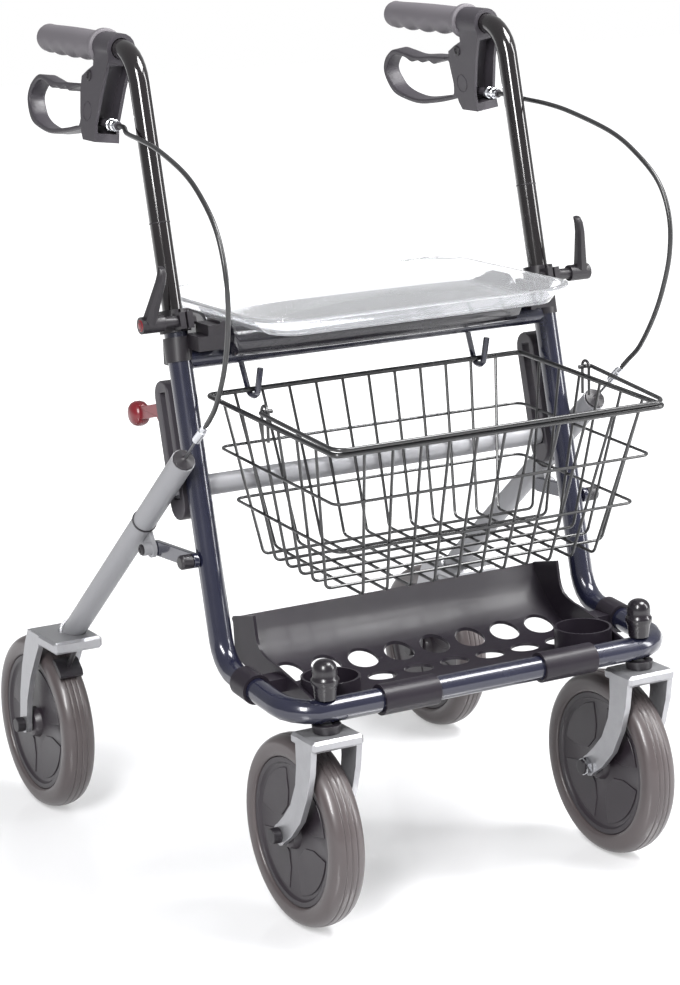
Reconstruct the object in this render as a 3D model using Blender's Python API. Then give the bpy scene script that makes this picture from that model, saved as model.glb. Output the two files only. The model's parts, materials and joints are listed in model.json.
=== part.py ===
"""Four-wheeled rollator with a folding rear frame, wire basket, seat, tray and shelf.

Metres, +Z up. The user walks behind it, towards -Y, so +X is the user's left side.
The front frame is one bent tube: two leaning uprights joined by a low loop in front.
A silver rear frame hangs on a cross tube that slides up slotted rails when it folds.
"""
import math

import bmesh
import bpy
from mathutils import Matrix, Vector

# Fits between pieces
GAP = 0.0003            # between faces that touch on the real object
RUN = 0.0006            # radial running clearance of pins and axles
SLIP = 0.0008           # side clearance of links, levers and blocks

# Front frame: one bent tube
TUBE_R = 0.0125
TUBE_WALL = 0.0015
STEM_Y = -0.2947        # caster stems and the front bar
WHEEL_R = 0.1000
WHEEL_CLEAR = 0.0060    # between a tyre and the fork's plate over it
FORK_PLATE = 0.0120
FORK_TOP_Z = 2.0 * WHEEL_R + WHEEL_CLEAR + FORK_PLATE
BEARING_HEIGHT = 0.0089
BAR_Z = FORK_TOP_Z + BEARING_HEIGHT + 2.0 * GAP + TUBE_R
UPRIGHT_X = 0.2225
FOOT_DEPTH = 0.1493     # from the front bar back to the foot of the uprights
FOOT_RISE = 0.0130
FOOT_BEND = 0.0400
CORNER_BEND = 0.0380
LEAN = math.radians(13.5)
UPRIGHT_LENGTH = 0.3660

# Clamps at the tops of the uprights
CLAMP_UNDER_TOP = 0.0100
CLAMP_UP = UPRIGHT_LENGTH - CLAMP_UNDER_TOP
CLAMP_AHEAD = 0.0225
COLLAR_LENGTH = 0.0230
COLLAR_OVER = 0.0030    # of the collar, past the upright's top
COLLAR_WALL = 0.0035
LUG_HALF = 0.0075       # half width of the collar's two lugs
BOLT_R = 0.0030
CLAMP_LEAN = {"right": math.radians(21.0), "left": math.radians(12.0)}  # forwards, as they are closed
CLAMP_TOE = 0.1500      # how far the arms run inwards, per metre of rise

# Handle tubes
HANDLE_TUBE_R = 0.0107
HANDLE_INSERT = 0.1500  # hidden in the upright at rest
HANDLE_DOWN = 0.0800    # how far the handles can be lowered
HANDLE_RISE = 0.2690    # from the upright's end to the bend's corner
HANDLE_BEND = 0.0420
GRIP_SLOPE = math.radians(0.6)
GRIP_TOE = math.radians(1.1)        # the grips run together towards the user
GRIP_START = 0.0716     # from the bend's corner
GRIP_LENGTH = 0.1590
GRIP_R = 0.0155
GRIP_FLANGE_R = 0.0190

# Brake levers and their housings
HOUSING_LENGTH = 0.0440
HOUSING_FRONT = 0.0163               # of its clamp, ahead of the centre
HOUSING_WIDTH = 0.0280
HOUSING_WALL = 0.0035
HOUSING_ROLL = math.radians(7.5)
LEVER_PIVOT = (0.0285, -0.0310)     # behind and above the housing's clamp centre
LEVER_PIN_R = 0.0025
LEVER_WIDTH = 0.0195
CABLE_BOSS = (-0.0240, -0.0785)     # end of the cable's boss, likewise

# Rear frame
LEG_OUT = 0.0275                    # from an upright's axis out to the leg's
LEG_X = UPRIGHT_X + LEG_OUT
LEG_R = 0.0125
LEG_ANGLE = math.radians(63.7)      # between leg and upright
LEG_ABOVE = 0.0660                  # leg end above the cross tube
LEG_BELOW = 0.3420
CROSS_R = 0.0110
CROSS_UP = 0.1869                   # along the upright, from its foot
CROSS_BEHIND = 0.0270
CROSS_PIN_R = 0.0060
LINK_UP = 0.1133                    # link pivot on the upright, from its foot
LINK_ALONG = 0.0792                 # link pivot on the leg, from the cross tube
LINK_UNDER = 0.0251                 # and under the leg's axis
LINK_OUT = 0.0168
LINK_X = UPRIGHT_X + LINK_OUT
LINK_THICK = 0.0058
LINK_HALF = 0.0080
LINK_HEAD_R = 0.0070                # rivet head on the leg's ear
EAR_THICK = 0.0040
STUD_R = 0.0035                      # link studs on the uprights
STOP_END = 0.0680                    # end of the cable's lower stop, past the leg's end

# The tube under the seat
SEAT_TUBE_UNDER_TOP = 0.0480        # below the uprights' tops
SEAT_TUBE_UP = UPRIGHT_LENGTH - SEAT_TUBE_UNDER_TOP
SEAT_TUBE_R = 0.0110

# Slotted rails behind the uprights
RAIL_UNDER_BLOCK = 0.0319           # rail's lower end below the slide block's centre
RAIL_FROM = CROSS_UP - RAIL_UNDER_BLOCK
RAIL_UNDER_SEAT = 0.0180            # rail's upper end below the seat's tube
RAIL_TO = SEAT_TUBE_UP - RAIL_UNDER_SEAT
RAIL_WIDTH = 0.0260
RAIL_DEPTH = 0.0330
SLOT_HALF = 0.0070
SLOT_TO = RAIL_TO - 0.0125
BLOCK_HALF = 0.0095
LATCH_OVER = 0.0541                 # latch pivot over the slide block's centre
LATCH_UP = CROSS_UP + LATCH_OVER
LATCH_BEHIND = 0.0400
LATCH_PIN_R = 0.0020

# Wheels
WHEEL_SIDES = 26
TYRE_WIDTH = 0.0370
TYRE_DEPTH = 0.0220
TYRE_INNER_R = WHEEL_R - TYRE_DEPTH
HUB_WIDTH = 0.0300
HUB_BOSS_R = 0.0160
AXLE_R = 0.0050
AXLE_CAP = 0.0095
HUB_SIDE_GAP = 0.0020               # between a hub's boss and its fork
PRONG_INNER = 0.0225
PRONG_THICK = 0.0065
REAR_WHEEL_OUT = 0.0100             # from the leg's axis
REAR_WHEEL_X = LEG_X + REAR_WHEEL_OUT
AXLE_BEHIND_LEG = 0.0546            # rear axle, behind the leg's end
AXLE_UNDER_LEG = 0.0095             # and the leg's end over the rear tyre
REAR_PLATE = 0.0140
SHOE_ANGLE = math.radians(131.0)    # of the brake block round the rear wheel
SHOE_OFF = 0.0035                   # from the tyre, at rest
SHOE_STEM = 0.0455                  # its guide stem's reach from the block's face
SHOE_STEM_R = 0.0030
STEM_IN = 0.0345                    # caster stems, in from the uprights' axes
STEM_X = UPRIGHT_X - STEM_IN
CASTER_TRAIL = 0.0540

# Seat and tray, from the axis of the tube under them
SEAT_SIDE_GAP = 0.0200              # between the seat's ends and the uprights
SEAT_HALF = UPRIGHT_X - TUBE_R - SEAT_SIDE_GAP
SEAT_AHEAD = 0.0435
SEAT_BEHIND = 0.0795
SEAT_THICK = 0.0205
SEAT_HORN = 0.0130
SEAT_LIP = 0.0110                   # the front edge rolls down ahead of the tube
PEG_R = 0.0040
TRAY_HALF = SEAT_HALF - 0.0015
TRAY_AHEAD = 0.1300
TRAY_BEHIND = 0.1440
TRAY_HEIGHT = 0.0190
TRAY_WALL = 0.0025
TRAY_TAPER = 0.0200
TRAY_CORNER = 0.0450

# Basket
BASKET_HALF = 0.1920
BASKET_BEHIND = 0.0025              # rear rim, behind the seat's tube
BASKET_UNDER = 0.0412               # and under it
BASKET_DEPTH = 0.2685
BASKET_TILT = math.radians(3.4)
BASKET_DROP = 0.1590
BASKET_TAPERS = (0.170, 0.283, 0.257)       # sides, rear and front, per metre of depth
BASKET_RIM_R = 0.0027
BASKET_WIRE = 0.0036
RING_DROPS = (0.0531, 0.1061)
BAIL_FORWARD = 0.1260               # bail pivots, ahead of the rear rim
BAIL_LIFT = 0.0110
BAIL_R = 0.0022

# Shelf
SHELF_HALF = UPRIGHT_X - TUBE_R - 0.0220
SHELF_DEPTH = 0.1960    # from the front bar back to its top edge
SHELF_SHEET = 0.0030
DRAIN_HOLES = 8         # in each of two rows
DRAIN_SPACING = 0.0440
CLIP_WALL = 0.0030
CUP_R = 0.0280
CUP_X = 0.1530
CUP_TOP = 0.0170        # over the front bar's axis

# Cables
CABLE_R = 0.0026
FERRULE_R = 0.0045

SIDES = (("right", -1.0), ("left", 1.0))

MATERIALS = {
    "navy_paint": ((0.028, 0.030, 0.060), 0.22, 0.25),
    "dark_tube": ((0.020, 0.016, 0.014), 0.15, 0.40),
    "silver_paint": ((0.52, 0.53, 0.55), 0.35, 0.30),
    "black_plastic": ((0.030, 0.028, 0.032), 0.45, 0.0),
    "grey_plastic": ((0.075, 0.070, 0.078), 0.50, 0.0),
    "grip_rubber": ((0.085, 0.080, 0.088), 0.70, 0.0),
    "tyre_grey": ((0.160, 0.135, 0.125), 0.60, 0.0),
    "hub_grey": ((0.062, 0.058, 0.062), 0.45, 0.0),
    "bright_metal": ((0.70, 0.71, 0.73), 0.25, 1.0),
    "red_plastic": ((0.45, 0.035, 0.050), 0.35, 0.0),
    "clear_plastic": ((0.92, 0.95, 0.97), 0.05, 0.0),
    "black_wire": ((0.030, 0.028, 0.030), 0.35, 0.2),
    "seat_vinyl": ((0.030, 0.028, 0.034), 0.40, 0.0),
}


def material(slot):
    """The named Principled material, made once."""
    existing = bpy.data.materials.get(slot)
    if existing:
        return existing
    colour, roughness, metallic = MATERIALS[slot]
    made = bpy.data.materials.new(slot)
    made.use_nodes = True
    shader = made.node_tree.nodes["Principled BSDF"]
    shader.inputs["Base Color"].default_value = (*colour, 1.0)
    shader.inputs["Roughness"].default_value = roughness
    shader.inputs["Metallic"].default_value = metallic
    if slot == "clear_plastic":
        shader.inputs["Alpha"].default_value = 0.35
    return made


# Places along the leaning uprights

FOOT_Y = STEM_Y + FOOT_DEPTH
FOOT_Z = BAR_Z + FOOT_RISE
UP = Vector((0.0, math.sin(LEAN), math.cos(LEAN)))
BACK = Vector((0.0, math.cos(LEAN), -math.sin(LEAN)))


def upright_point(x, up, behind=0.0):
    """A point at a distance up an upright's axis and behind it."""
    return Vector((x, FOOT_Y, FOOT_Z)) + UP * up + BACK * behind


def leg_direction(angle=LEG_ANGLE):
    """Unit vector at an angle behind the upright's downward direction."""
    return -UP * math.cos(angle) + BACK * math.sin(angle)


CROSS_CENTRE = upright_point(0.0, CROSS_UP, CROSS_BEHIND)
LEG_DOWN = leg_direction()
LEG_UNDER = Vector((0.0, LEG_DOWN.z, -LEG_DOWN.y))
LINK_FRONT = upright_point(0.0, LINK_UP)
LINK_REAR = CROSS_CENTRE + LEG_DOWN * LINK_ALONG + LEG_UNDER * LINK_UNDER
LEG_END = CROSS_CENTRE + LEG_DOWN * LEG_BELOW
REAR_AXLE = LEG_END + Vector((0.0, AXLE_BEHIND_LEG, -AXLE_UNDER_LEG - WHEEL_R))
SEAT_TUBE = upright_point(0.0, SEAT_TUBE_UP)
SEAT_Z = SEAT_TUBE.z + SEAT_TUBE_R + GAP + SEAT_THICK
BASKET_RIM = SEAT_TUBE + Vector((0.0, BASKET_BEHIND, -BASKET_UNDER))


def at_x(point, x):
    return Vector((x, point.y, point.z))


# Mesh building

def shape(bm):
    """A temporary object that holds a closed mesh with its faces out."""
    bmesh.ops.recalc_face_normals(bm, faces=bm.faces)
    mesh = bpy.data.meshes.new("shape")
    bm.to_mesh(mesh)
    bm.free()
    made = bpy.data.objects.new("shape", mesh)
    bpy.context.scene.collection.objects.link(made)
    return made


def loft(loops, closed=False):
    """Skin over loops of points; the ends are capped unless it closes on itself."""
    bm = bmesh.new()
    rings = [[bm.verts.new(point) for point in loop] for loop in loops]
    pairs = list(zip(rings, rings[1:]))
    if closed:
        pairs.append((rings[-1], rings[0]))
    for low, high in pairs:
        for i in range(len(low)):
            j = (i + 1) % len(low)
            bm.faces.new((low[i], low[j], high[j], high[i]))
    if not closed:
        bm.faces.new(list(reversed(rings[0])))
        bm.faces.new(rings[-1])
    return shape(bm)


def rounded(points, radii, steps=5):
    """A polyline with each inner corner turned into an arc of its radius."""
    path = [Vector(points[0])]
    for before, corner, after, radius in zip(points, points[1:], points[2:], radii):
        corner = Vector(corner)
        come = (Vector(before) - corner).normalized()
        leave = (Vector(after) - corner).normalized()
        half = come.angle(leave) / 2.0
        bisector = (come + leave).normalized()
        centre = corner + bisector * (radius / math.sin(half))
        start = corner + come * (radius / math.tan(half))
        normal = come.cross(leave).normalized()
        sweep = math.pi - 2.0 * half
        arm = start - centre
        for i in range(steps + 1):
            path.append(centre + Matrix.Rotation(-sweep * i / steps, 3, normal) @ arm)
    path.append(Vector(points[-1]))
    return path


def tube(path, radius, sides=12, first_side=None):
    """A round bar along a path, with mitred rings and flat ends."""
    tangents = []
    for i, point in enumerate(path):
        ahead = (path[i + 1] - point).normalized() if i + 1 < len(path) else None
        behind = (point - path[i - 1]).normalized() if i else None
        tangents.append((ahead or behind) if not (ahead and behind) else (ahead + behind).normalized())
    side = first_side or tangents[0].orthogonal()
    radii = radius if isinstance(radius, (list, tuple)) else [radius] * len(path)
    loops = []
    for point, tangent, size in zip(path, tangents, radii):
        side = (side - tangent * side.dot(tangent)).normalized()
        other = tangent.cross(side)
        loops.append([point + (side * math.cos(a) + other * math.sin(a)) * size
                      for a in (2.0 * math.pi * (i + 0.5) / sides for i in range(sides))])
    return loft(loops)


def rod(start, end, radius, sides=12):
    return tube([Vector(start), Vector(end)], radius, sides)


def hole(start, end, radius, sides=12):
    """A round cutter whose flats keep clear of the radius."""
    return rod(start, end, radius / math.cos(math.pi / sides), sides)


def lathe(profile, centre, axis, steps=24, closed=False):
    """Turn a profile of (radius, height) about an axis; a closed one leaves a hole."""
    axis = Vector(axis).normalized()
    side = Vector((0, 0, 1)) if abs(axis.z) < 0.9 else Vector((1, 0, 0))
    side = (side - axis * side.dot(axis)).normalized()
    other = axis.cross(side)
    centre = Vector(centre)
    loops = []
    for radius, height in profile:
        loops.append([centre + axis * height + (side * math.cos(a) + other * math.sin(a)) * radius
                      for a in (2.0 * math.pi * i / steps for i in range(steps))])
    return loft(loops, closed)


def prism(outline, low, high):
    """An outline of (y, z) points pushed from x = low to x = high."""
    return loft([[Vector((x, y, z)) for y, z in outline] for x in (low, high)])


def box(low, high, bevel=0.0):
    bm = bmesh.new()
    bmesh.ops.create_cube(bm, size=1.0)
    corners = list(zip(low, high))
    low, high = Vector(min(pair) for pair in corners), Vector(max(pair) for pair in corners)
    size = high - low
    for vert in bm.verts:
        vert.co = Vector((vert.co.x * size.x, vert.co.y * size.y, vert.co.z * size.z)) + (low + high) / 2
    if bevel:
        bmesh.ops.bevel(bm, geom=bm.edges[:], offset=bevel, segments=1, affect="EDGES", profile=0.5)
    return shape(bm)


def boolean(target, tool, operation):
    """Apply one exact Boolean and remove the tool."""
    modifier = target.modifiers.new("cut", "BOOLEAN")
    modifier.operation = operation
    modifier.solver = "EXACT"
    modifier.object = tool
    bpy.context.view_layer.update()
    evaluated = target.evaluated_get(bpy.context.evaluated_depsgraph_get())
    mesh = bpy.data.meshes.new_from_object(evaluated)
    target.modifiers.clear()
    target.data = mesh
    bpy.data.objects.remove(tool, do_unlink=True)
    return target


def union(target, *tools):
    for tool in tools:
        boolean(target, tool, "UNION")
    return target


def cut(target, *tools):
    for tool in tools:
        boolean(target, tool, "DIFFERENCE")
    return target


def node(name, made, slot, origin=(0.0, 0.0, 0.0), sharp=32.0):
    """Name a finished sub-part, give it its material and set its origin."""
    origin = Vector(origin)
    made.name = name
    made.data.name = name
    made.data.transform(Matrix.Translation(-origin))
    made.location = origin
    made.data.materials.clear()
    made.data.materials.append(material(slot))
    made.data.shade_smooth()
    made.data.set_sharp_from_angle(angle=math.radians(sharp))
    return made


# Front frame

def frame_path():
    """The bent tube's axis from one upright's top round the loop to the other's."""
    corners = []
    for _, sign in SIDES:
        top = upright_point(sign * UPRIGHT_X, UPRIGHT_LENGTH)
        foot = upright_point(sign * UPRIGHT_X, 0.0)
        front = Vector((sign * UPRIGHT_X, STEM_Y, BAR_Z))
        corners.append([top, foot, front])
    path = corners[0] + list(reversed(corners[1]))
    return rounded(path, (FOOT_BEND, CORNER_BEND, CORNER_BEND, FOOT_BEND))


def make_front_frame():
    frame = tube(frame_path(), TUBE_R, 16, Vector((1, 0, 0)))
    for _, sign in SIDES:
        x = sign * UPRIGHT_X
        bore_end = UPRIGHT_LENGTH - HANDLE_INSERT - HANDLE_DOWN - 0.005
        cut(frame, hole(upright_point(x, bore_end), upright_point(x, UPRIGHT_LENGTH + 0.01),
                       TUBE_R - TUBE_WALL, 16))
        stud_end = sign * (LINK_X + LINK_THICK / 2 + 0.0110)
        wall = sign * (UPRIGHT_X + TUBE_R - TUBE_WALL)
        union(frame, rod(at_x(LINK_FRONT, wall), at_x(LINK_FRONT, stud_end), STUD_R, 8))
    node("frame_tube", frame, "navy_paint")


def make_seat_tube():
    seat_tube = rod(at_x(SEAT_TUBE, -UPRIGHT_X), at_x(SEAT_TUBE, UPRIGHT_X), SEAT_TUBE_R, 16)
    for _, sign in SIDES:
        x = sign * UPRIGHT_X
        cut(seat_tube, hole(upright_point(x, SEAT_TUBE_UP - 0.05), upright_point(x, SEAT_TUBE_UP + 0.05),
                           TUBE_R + GAP, 32))
        union(seat_tube, basket_hook(sign))
    node("seat_cross_tube", seat_tube, "navy_paint")


def make_rails():
    """Slotted guides on the rear of the uprights, in which the rear frame slides."""
    for side, sign in SIDES:
        x = sign * UPRIGHT_X
        half = RAIL_DEPTH / 2
        middle = TUBE_R + GAP + half
        ends = (RAIL_FROM + half, RAIL_TO - half)
        outline = []
        for i in range(9):
            a = math.pi * i / 8
            outline.append((ends[1] + half * math.sin(a), middle - half * math.cos(a)))
        for i in range(9):
            a = math.pi * i / 8
            outline.append((ends[0] - half * math.sin(a), middle + half * math.cos(a)))
        loops = [[upright_point(x + dx, up, behind) for up, behind in outline]
                 for dx in (-RAIL_WIDTH / 2, RAIL_WIDTH / 2)]
        rail = loft(loops)
        low = CROSS_UP - BLOCK_HALF - SLIP
        slot = loft([[upright_point(x + dx, up, CROSS_BEHIND + behind)
                      for up, behind in ((low, -SLOT_HALF), (SLOT_TO, -SLOT_HALF),
                                         (SLOT_TO, SLOT_HALF), (low, SLOT_HALF))]
                     for dx in (-RAIL_WIDTH, RAIL_WIDTH)])
        cut(rail, slot)
        if sign < 0:
            cut(rail, latch_window(x))
            pin = upright_point(x, LATCH_UP, LATCH_BEHIND)
            union(rail, rod(at_x(pin, x - 0.0060), at_x(pin, x + 0.0060), LATCH_PIN_R, 8))
        node("rail_" + side, rail, "grey_plastic")


def latch_window(x):
    """The opening in the rail's rear wall through which the latch swings."""
    low, high = CROSS_UP + BLOCK_HALF - 0.0005, LATCH_UP + 0.0500
    return loft([[upright_point(x + dx, up, behind)
                  for up, behind in ((low, CROSS_BEHIND), (high, CROSS_BEHIND),
                                     (high, CROSS_BEHIND + 0.04), (low, CROSS_BEHIND + 0.04))]
                 for dx in (-0.0052, 0.0052)])


def make_latch():
    """Red lever: its pawl lies behind the slot and its tongue sticks out behind the rail."""
    x = -UPRIGHT_X
    pivot = upright_point(x, LATCH_UP, LATCH_BEHIND)
    low = CROSS_UP + BLOCK_HALF + 0.0020
    tongue, half, neck = LATCH_UP + 0.0300, 0.0135, 0.0068
    near = CROSS_BEHIND + SLOT_HALF + 0.0006
    outline = [(low, near), (low, 0.0420), (LATCH_UP - 0.0080, 0.0480), (tongue - neck, 0.0680)]
    for i in range(11):
        a = math.radians(-150 + 300 * i / 10)
        outline.append((tongue + half * math.sin(a), 0.1195 + half * math.cos(a)))
    outline += [(tongue + neck, 0.0620), (LATCH_UP + 0.0180, 0.0460), (LATCH_UP + 0.0080, near),
                (LATCH_UP - 0.0080, near)]
    loops = [[upright_point(x + dx, up, behind) for up, behind in outline] for dx in (-0.0040, 0.0040)]
    latch = loft(loops)
    cut(latch, hole(pivot - Vector((0.01, 0, 0)), pivot + Vector((0.01, 0, 0)), LATCH_PIN_R + RUN, 8))
    node("fold_latch", latch, "red_plastic", pivot)


def clamp_bolt(x):
    """A point on the clamp bolt's axis, in front of an upright's top."""
    return upright_point(x, CLAMP_UP, -CLAMP_AHEAD)


def make_collars():
    """Clamp rings at the tops of the uprights, with lugs in front that the lever draws together."""
    for side, sign in SIDES:
        x = sign * UPRIGHT_X
        high = UPRIGHT_LENGTH + COLLAR_OVER
        low = high - COLLAR_LENGTH
        collar = rod(upright_point(x, low), upright_point(x, high), TUBE_R + GAP + COLLAR_WALL, 18)
        bolt = clamp_bolt(x)
        lug = box((x - LUG_HALF, -CLAMP_AHEAD - 0.0080, -0.0085), (x + LUG_HALF, -TUBE_R / 2, 0.0085))
        slit = box((x - 0.0012, -CLAMP_AHEAD - 0.0200, -0.0300), (x + 0.0012, -0.0080, 0.0300))
        place = (Matrix.Translation(upright_point(0.0, CLAMP_UP)) @ Matrix.Rotation(-LEAN, 4, "X"))
        for piece in (lug, slit):
            piece.data.transform(place)
        union(collar, lug)
        cut(collar, hole(upright_point(x, low - 0.01), upright_point(x, UPRIGHT_LENGTH + GAP),
                        TUBE_R + GAP, 18))
        cut(collar, hole(upright_point(x, low), upright_point(x, high + 0.01), HANDLE_TUBE_R + GAP, 18))
        cut(collar, slit)
        cut(collar, hole(at_x(bolt, x - 0.02), at_x(bolt, x + 0.02), BOLT_R + GAP, 10))
        node("clamp_collar_" + side, collar, "black_plastic")


def make_clamp_levers():
    """Hand levers with their bolts that tighten the collars; each turns about its bolt."""
    for side, sign in SIDES:
        hub = clamp_bolt(0.0)
        inner = UPRIGHT_X + LUG_HALF + GAP
        nut = UPRIGHT_X - LUG_HALF - GAP
        shoulder = sign * inner
        lever = rod(at_x(hub, shoulder), at_x(hub, sign * (inner + 0.0177)), 0.0060, 12)
        union(lever, rod(at_x(hub, sign * (inner + 0.0157)), at_x(hub, sign * (inner + 0.0407)), 0.0088, 14))
        union(lever, rod(at_x(hub, sign * (inner + 0.0397)), at_x(hub, sign * (inner + 0.0419)), 0.0050, 10))
        union(lever, rod(at_x(hub, sign * (nut - 0.0037)), at_x(hub, shoulder), BOLT_R, 8))
        union(lever, rod(at_x(hub, sign * nut), at_x(hub, sign * (nut - 0.0047)), 0.0050, 6))
        root = at_x(hub, sign * (inner + 0.0317))
        lean = CLAMP_LEAN[side]
        along = Vector((-sign * CLAMP_TOE, -math.sin(lean), math.cos(lean))).normalized()
        out = (Vector((sign, 0, 0)) - along * along.x * sign).normalized()
        wide = out.cross(along)
        loops = []
        for place, hook, width, thick in ((0.0, 0.0, 0.0080, 0.0065), (0.020, 0.0, 0.0070, 0.0055),
                                          (0.048, 0.0, 0.0058, 0.0044), (0.0580, 0.0020, 0.0052, 0.0040),
                                          (0.0640, 0.0055, 0.0040, 0.0034)):
            centre = root + along * place + Vector((0, hook, 0))
            loops.append([centre + wide * width * a + out * thick * b
                          for a, b in ((-1, -0.5), (-0.5, -1), (0.5, -1), (1, -0.5),
                                       (1, 0.5), (0.5, 1), (-0.5, 1), (-1, 0.5))])
        union(lever, loft(loops))
        node("clamp_lever_" + side, lever, "black_plastic", at_x(hub, shoulder))


def make_seat_brackets():
    """Plastic brackets on the uprights with the pegs that hold the seat."""
    for side, sign in SIDES:
        x = sign * UPRIGHT_X
        low, high = SEAT_TUBE_UP - 0.002, SEAT_TUBE_UP + 0.0230
        ring = rod(upright_point(x, low), upright_point(x, high), TUBE_R + 0.0020, 18)
        tail = box((x - 0.006, 0.0, -0.0060), (x + 0.006, 0.0260, 0.0200))
        tail.data.transform(Matrix.Translation(Vector((0, upright_point(x, low).y, upright_point(x, low).z))))
        union(ring, tail)
        pivot = seat_pivot()
        step = UPRIGHT_X - 0.0180
        for x0, x1, top in ((SEAT_HALF, step, 0.0120), (step - 0.0010, UPRIGHT_X - 0.0065, 0.0010)):
            union(ring, box((sign * x0, pivot.y - 0.0150, pivot.z - 0.0140),
                            (sign * x1, pivot.y + 0.0140, pivot.z + top)))
        plate = box((sign * (SEAT_HALF - 0.0050), pivot.y - 0.0150, pivot.z - 0.0150),
                    (sign * (SEAT_HALF + 0.0010), pivot.y + 0.0145, pivot.z + 0.0150))
        union(ring, plate)
        union(ring, rod(at_x(pivot, sign * (SEAT_HALF - 0.0020)), at_x(pivot, sign * (SEAT_HALF - 0.0135)),
                        PEG_R, 12))
        cut(ring, hole(upright_point(x, low - 0.03), upright_point(x, high + 0.04), TUBE_R + GAP, 18))
        cut(ring, hole(at_x(SEAT_TUBE, -UPRIGHT_X), at_x(SEAT_TUBE, UPRIGHT_X), SEAT_TUBE_R + GAP, 16))
        node("seat_bracket_" + side, ring, "black_plastic")


def seat_pivot():
    """The line of the pegs that hold the seat, just above the tube that it rests on."""
    return Vector((0.0, SEAT_TUBE.y - 0.0170, SEAT_Z - 0.0060))


# Seat and tray

def make_seat():
    """A moulded board with a crowned top, raised ends and a notch round each bracket."""
    pivot = seat_pivot()
    notch_front = pivot.y + 0.0160
    front, back = SEAT_TUBE.y - SEAT_AHEAD, SEAT_TUBE.y + SEAT_BEHIND
    stations = []
    notch_x = SEAT_HALF - 0.0140
    for x in (0.0, 0.060, 0.120, 0.155, notch_x - 0.006, notch_x - 0.001):
        stations.append((x, front + 0.012 * (x / notch_x) ** 4, back - 0.010 * (x / notch_x) ** 4, 1.0))
    for x, size in ((notch_x, 1.0), (notch_x + 0.0070, 0.97), (SEAT_HALF - 0.0020, 0.86), (SEAT_HALF, 0.62)):
        stations.append((x, notch_front + (1 - size) * 0.02, back - 0.014 - (1 - size) * 0.03, size))
    all_stations = [(-x, f, b, s) for x, f, b, s in reversed(stations[1:])] + stations
    loops = []
    for x, y0, y1, size in all_stations:
        rise = SEAT_HORN * max(0.0, min(1.0, (abs(x) - notch_x + 0.0050) / 0.0150))
        top = SEAT_Z + rise - (1 - size) * 0.010
        bottom = SEAT_Z - SEAT_THICK + (1 - size) * 0.012
        edge = min(0.0080, (top - bottom) * 0.42)
        mid = (y0 + y1) / 2
        low = bottom - (SEAT_LIP if abs(x) < notch_x - 0.0050 else 0.0)
        loops.append([Vector((x, y, z)) for y, z in (
            (y0, low + edge), (y0 + edge * 0.3, low + edge * 0.3), (y0 + edge * 0.9, low),
            (y0 + 0.0120, low), (y0 + 0.0150, bottom), (mid, bottom),
            (y1 - edge, bottom), (y1 - edge * 0.3, bottom + edge * 0.3),
            (y1, bottom + edge), (y1, top - edge), (y1 - edge * 0.3, top - edge * 0.3),
            (y1 - edge, top), (mid, top), (y0 + edge, top), (y0 + edge * 0.3, top - edge * 0.3),
            (y0, top - edge))])
    seat = loft(loops)
    for _, sign in SIDES:
        cut(seat, hole(at_x(pivot, sign * notch_x), at_x(pivot, sign * SEAT_HALF), PEG_R + RUN, 12))
    node("seat", seat, "seat_vinyl", pivot)


def rounded_rect(half, y0, y1, radius, z, steps=5):
    """A loop round a rectangle with round corners, at one height."""
    points = []
    for cx, cy, start in ((half - radius, y1 - radius, 0), (-half + radius, y1 - radius, 90),
                          (-half + radius, y0 + radius, 180), (half - radius, y0 + radius, 270)):
        for i in range(steps + 1):
            a = math.radians(start + 90 * i / steps)
            points.append(Vector((cx + radius * math.cos(a), cy + radius * math.sin(a), z)))
    return points


def make_tray():
    """A clear tray with sloping walls that lies on the seat."""
    y0, y1 = SEAT_TUBE.y - TRAY_AHEAD, SEAT_TUBE.y + TRAY_BEHIND
    low = SEAT_Z + GAP
    top = low + TRAY_HEIGHT
    t = TRAY_TAPER
    w = TRAY_WALL
    r = TRAY_CORNER
    loops = [
        rounded_rect(TRAY_HALF - t, y0 + t * 0.5, y1 - t * 0.5, r - t * 0.5, low),
        rounded_rect(TRAY_HALF - 0.003, y0 + 0.003, y1 - 0.003, r, top - w),
        rounded_rect(TRAY_HALF, y0, y1, r, top - w),
        rounded_rect(TRAY_HALF, y0, y1, r, top),
        rounded_rect(TRAY_HALF - 0.003 - w, y0 + 0.003 + w, y1 - 0.003 - w, r - w, top),
        rounded_rect(TRAY_HALF - t - w * 0.6, y0 + t * 0.5 + w, y1 - t * 0.5 - w, r - t * 0.5 - w, low + w),
    ]
    node("tray", loft(loops), "clear_plastic")


# Basket

def basket_point(x, forward, drop):
    """A point in the tilted basket: forward of the rear rim and below it."""
    return Vector((x, BASKET_RIM.y - forward * math.cos(BASKET_TILT) + drop * math.sin(BASKET_TILT),
                   BASKET_RIM.z - forward * math.sin(BASKET_TILT) - drop * math.cos(BASKET_TILT)))


def basket_levels():
    """Half width and the rear and front lines at the rim, the two rings and the floor."""
    side, rear, front = BASKET_TAPERS
    return [(drop, BASKET_HALF - side * drop, rear * drop, BASKET_DEPTH - front * drop)
            for drop in (0.0, *RING_DROPS, BASKET_DROP)]


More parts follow.
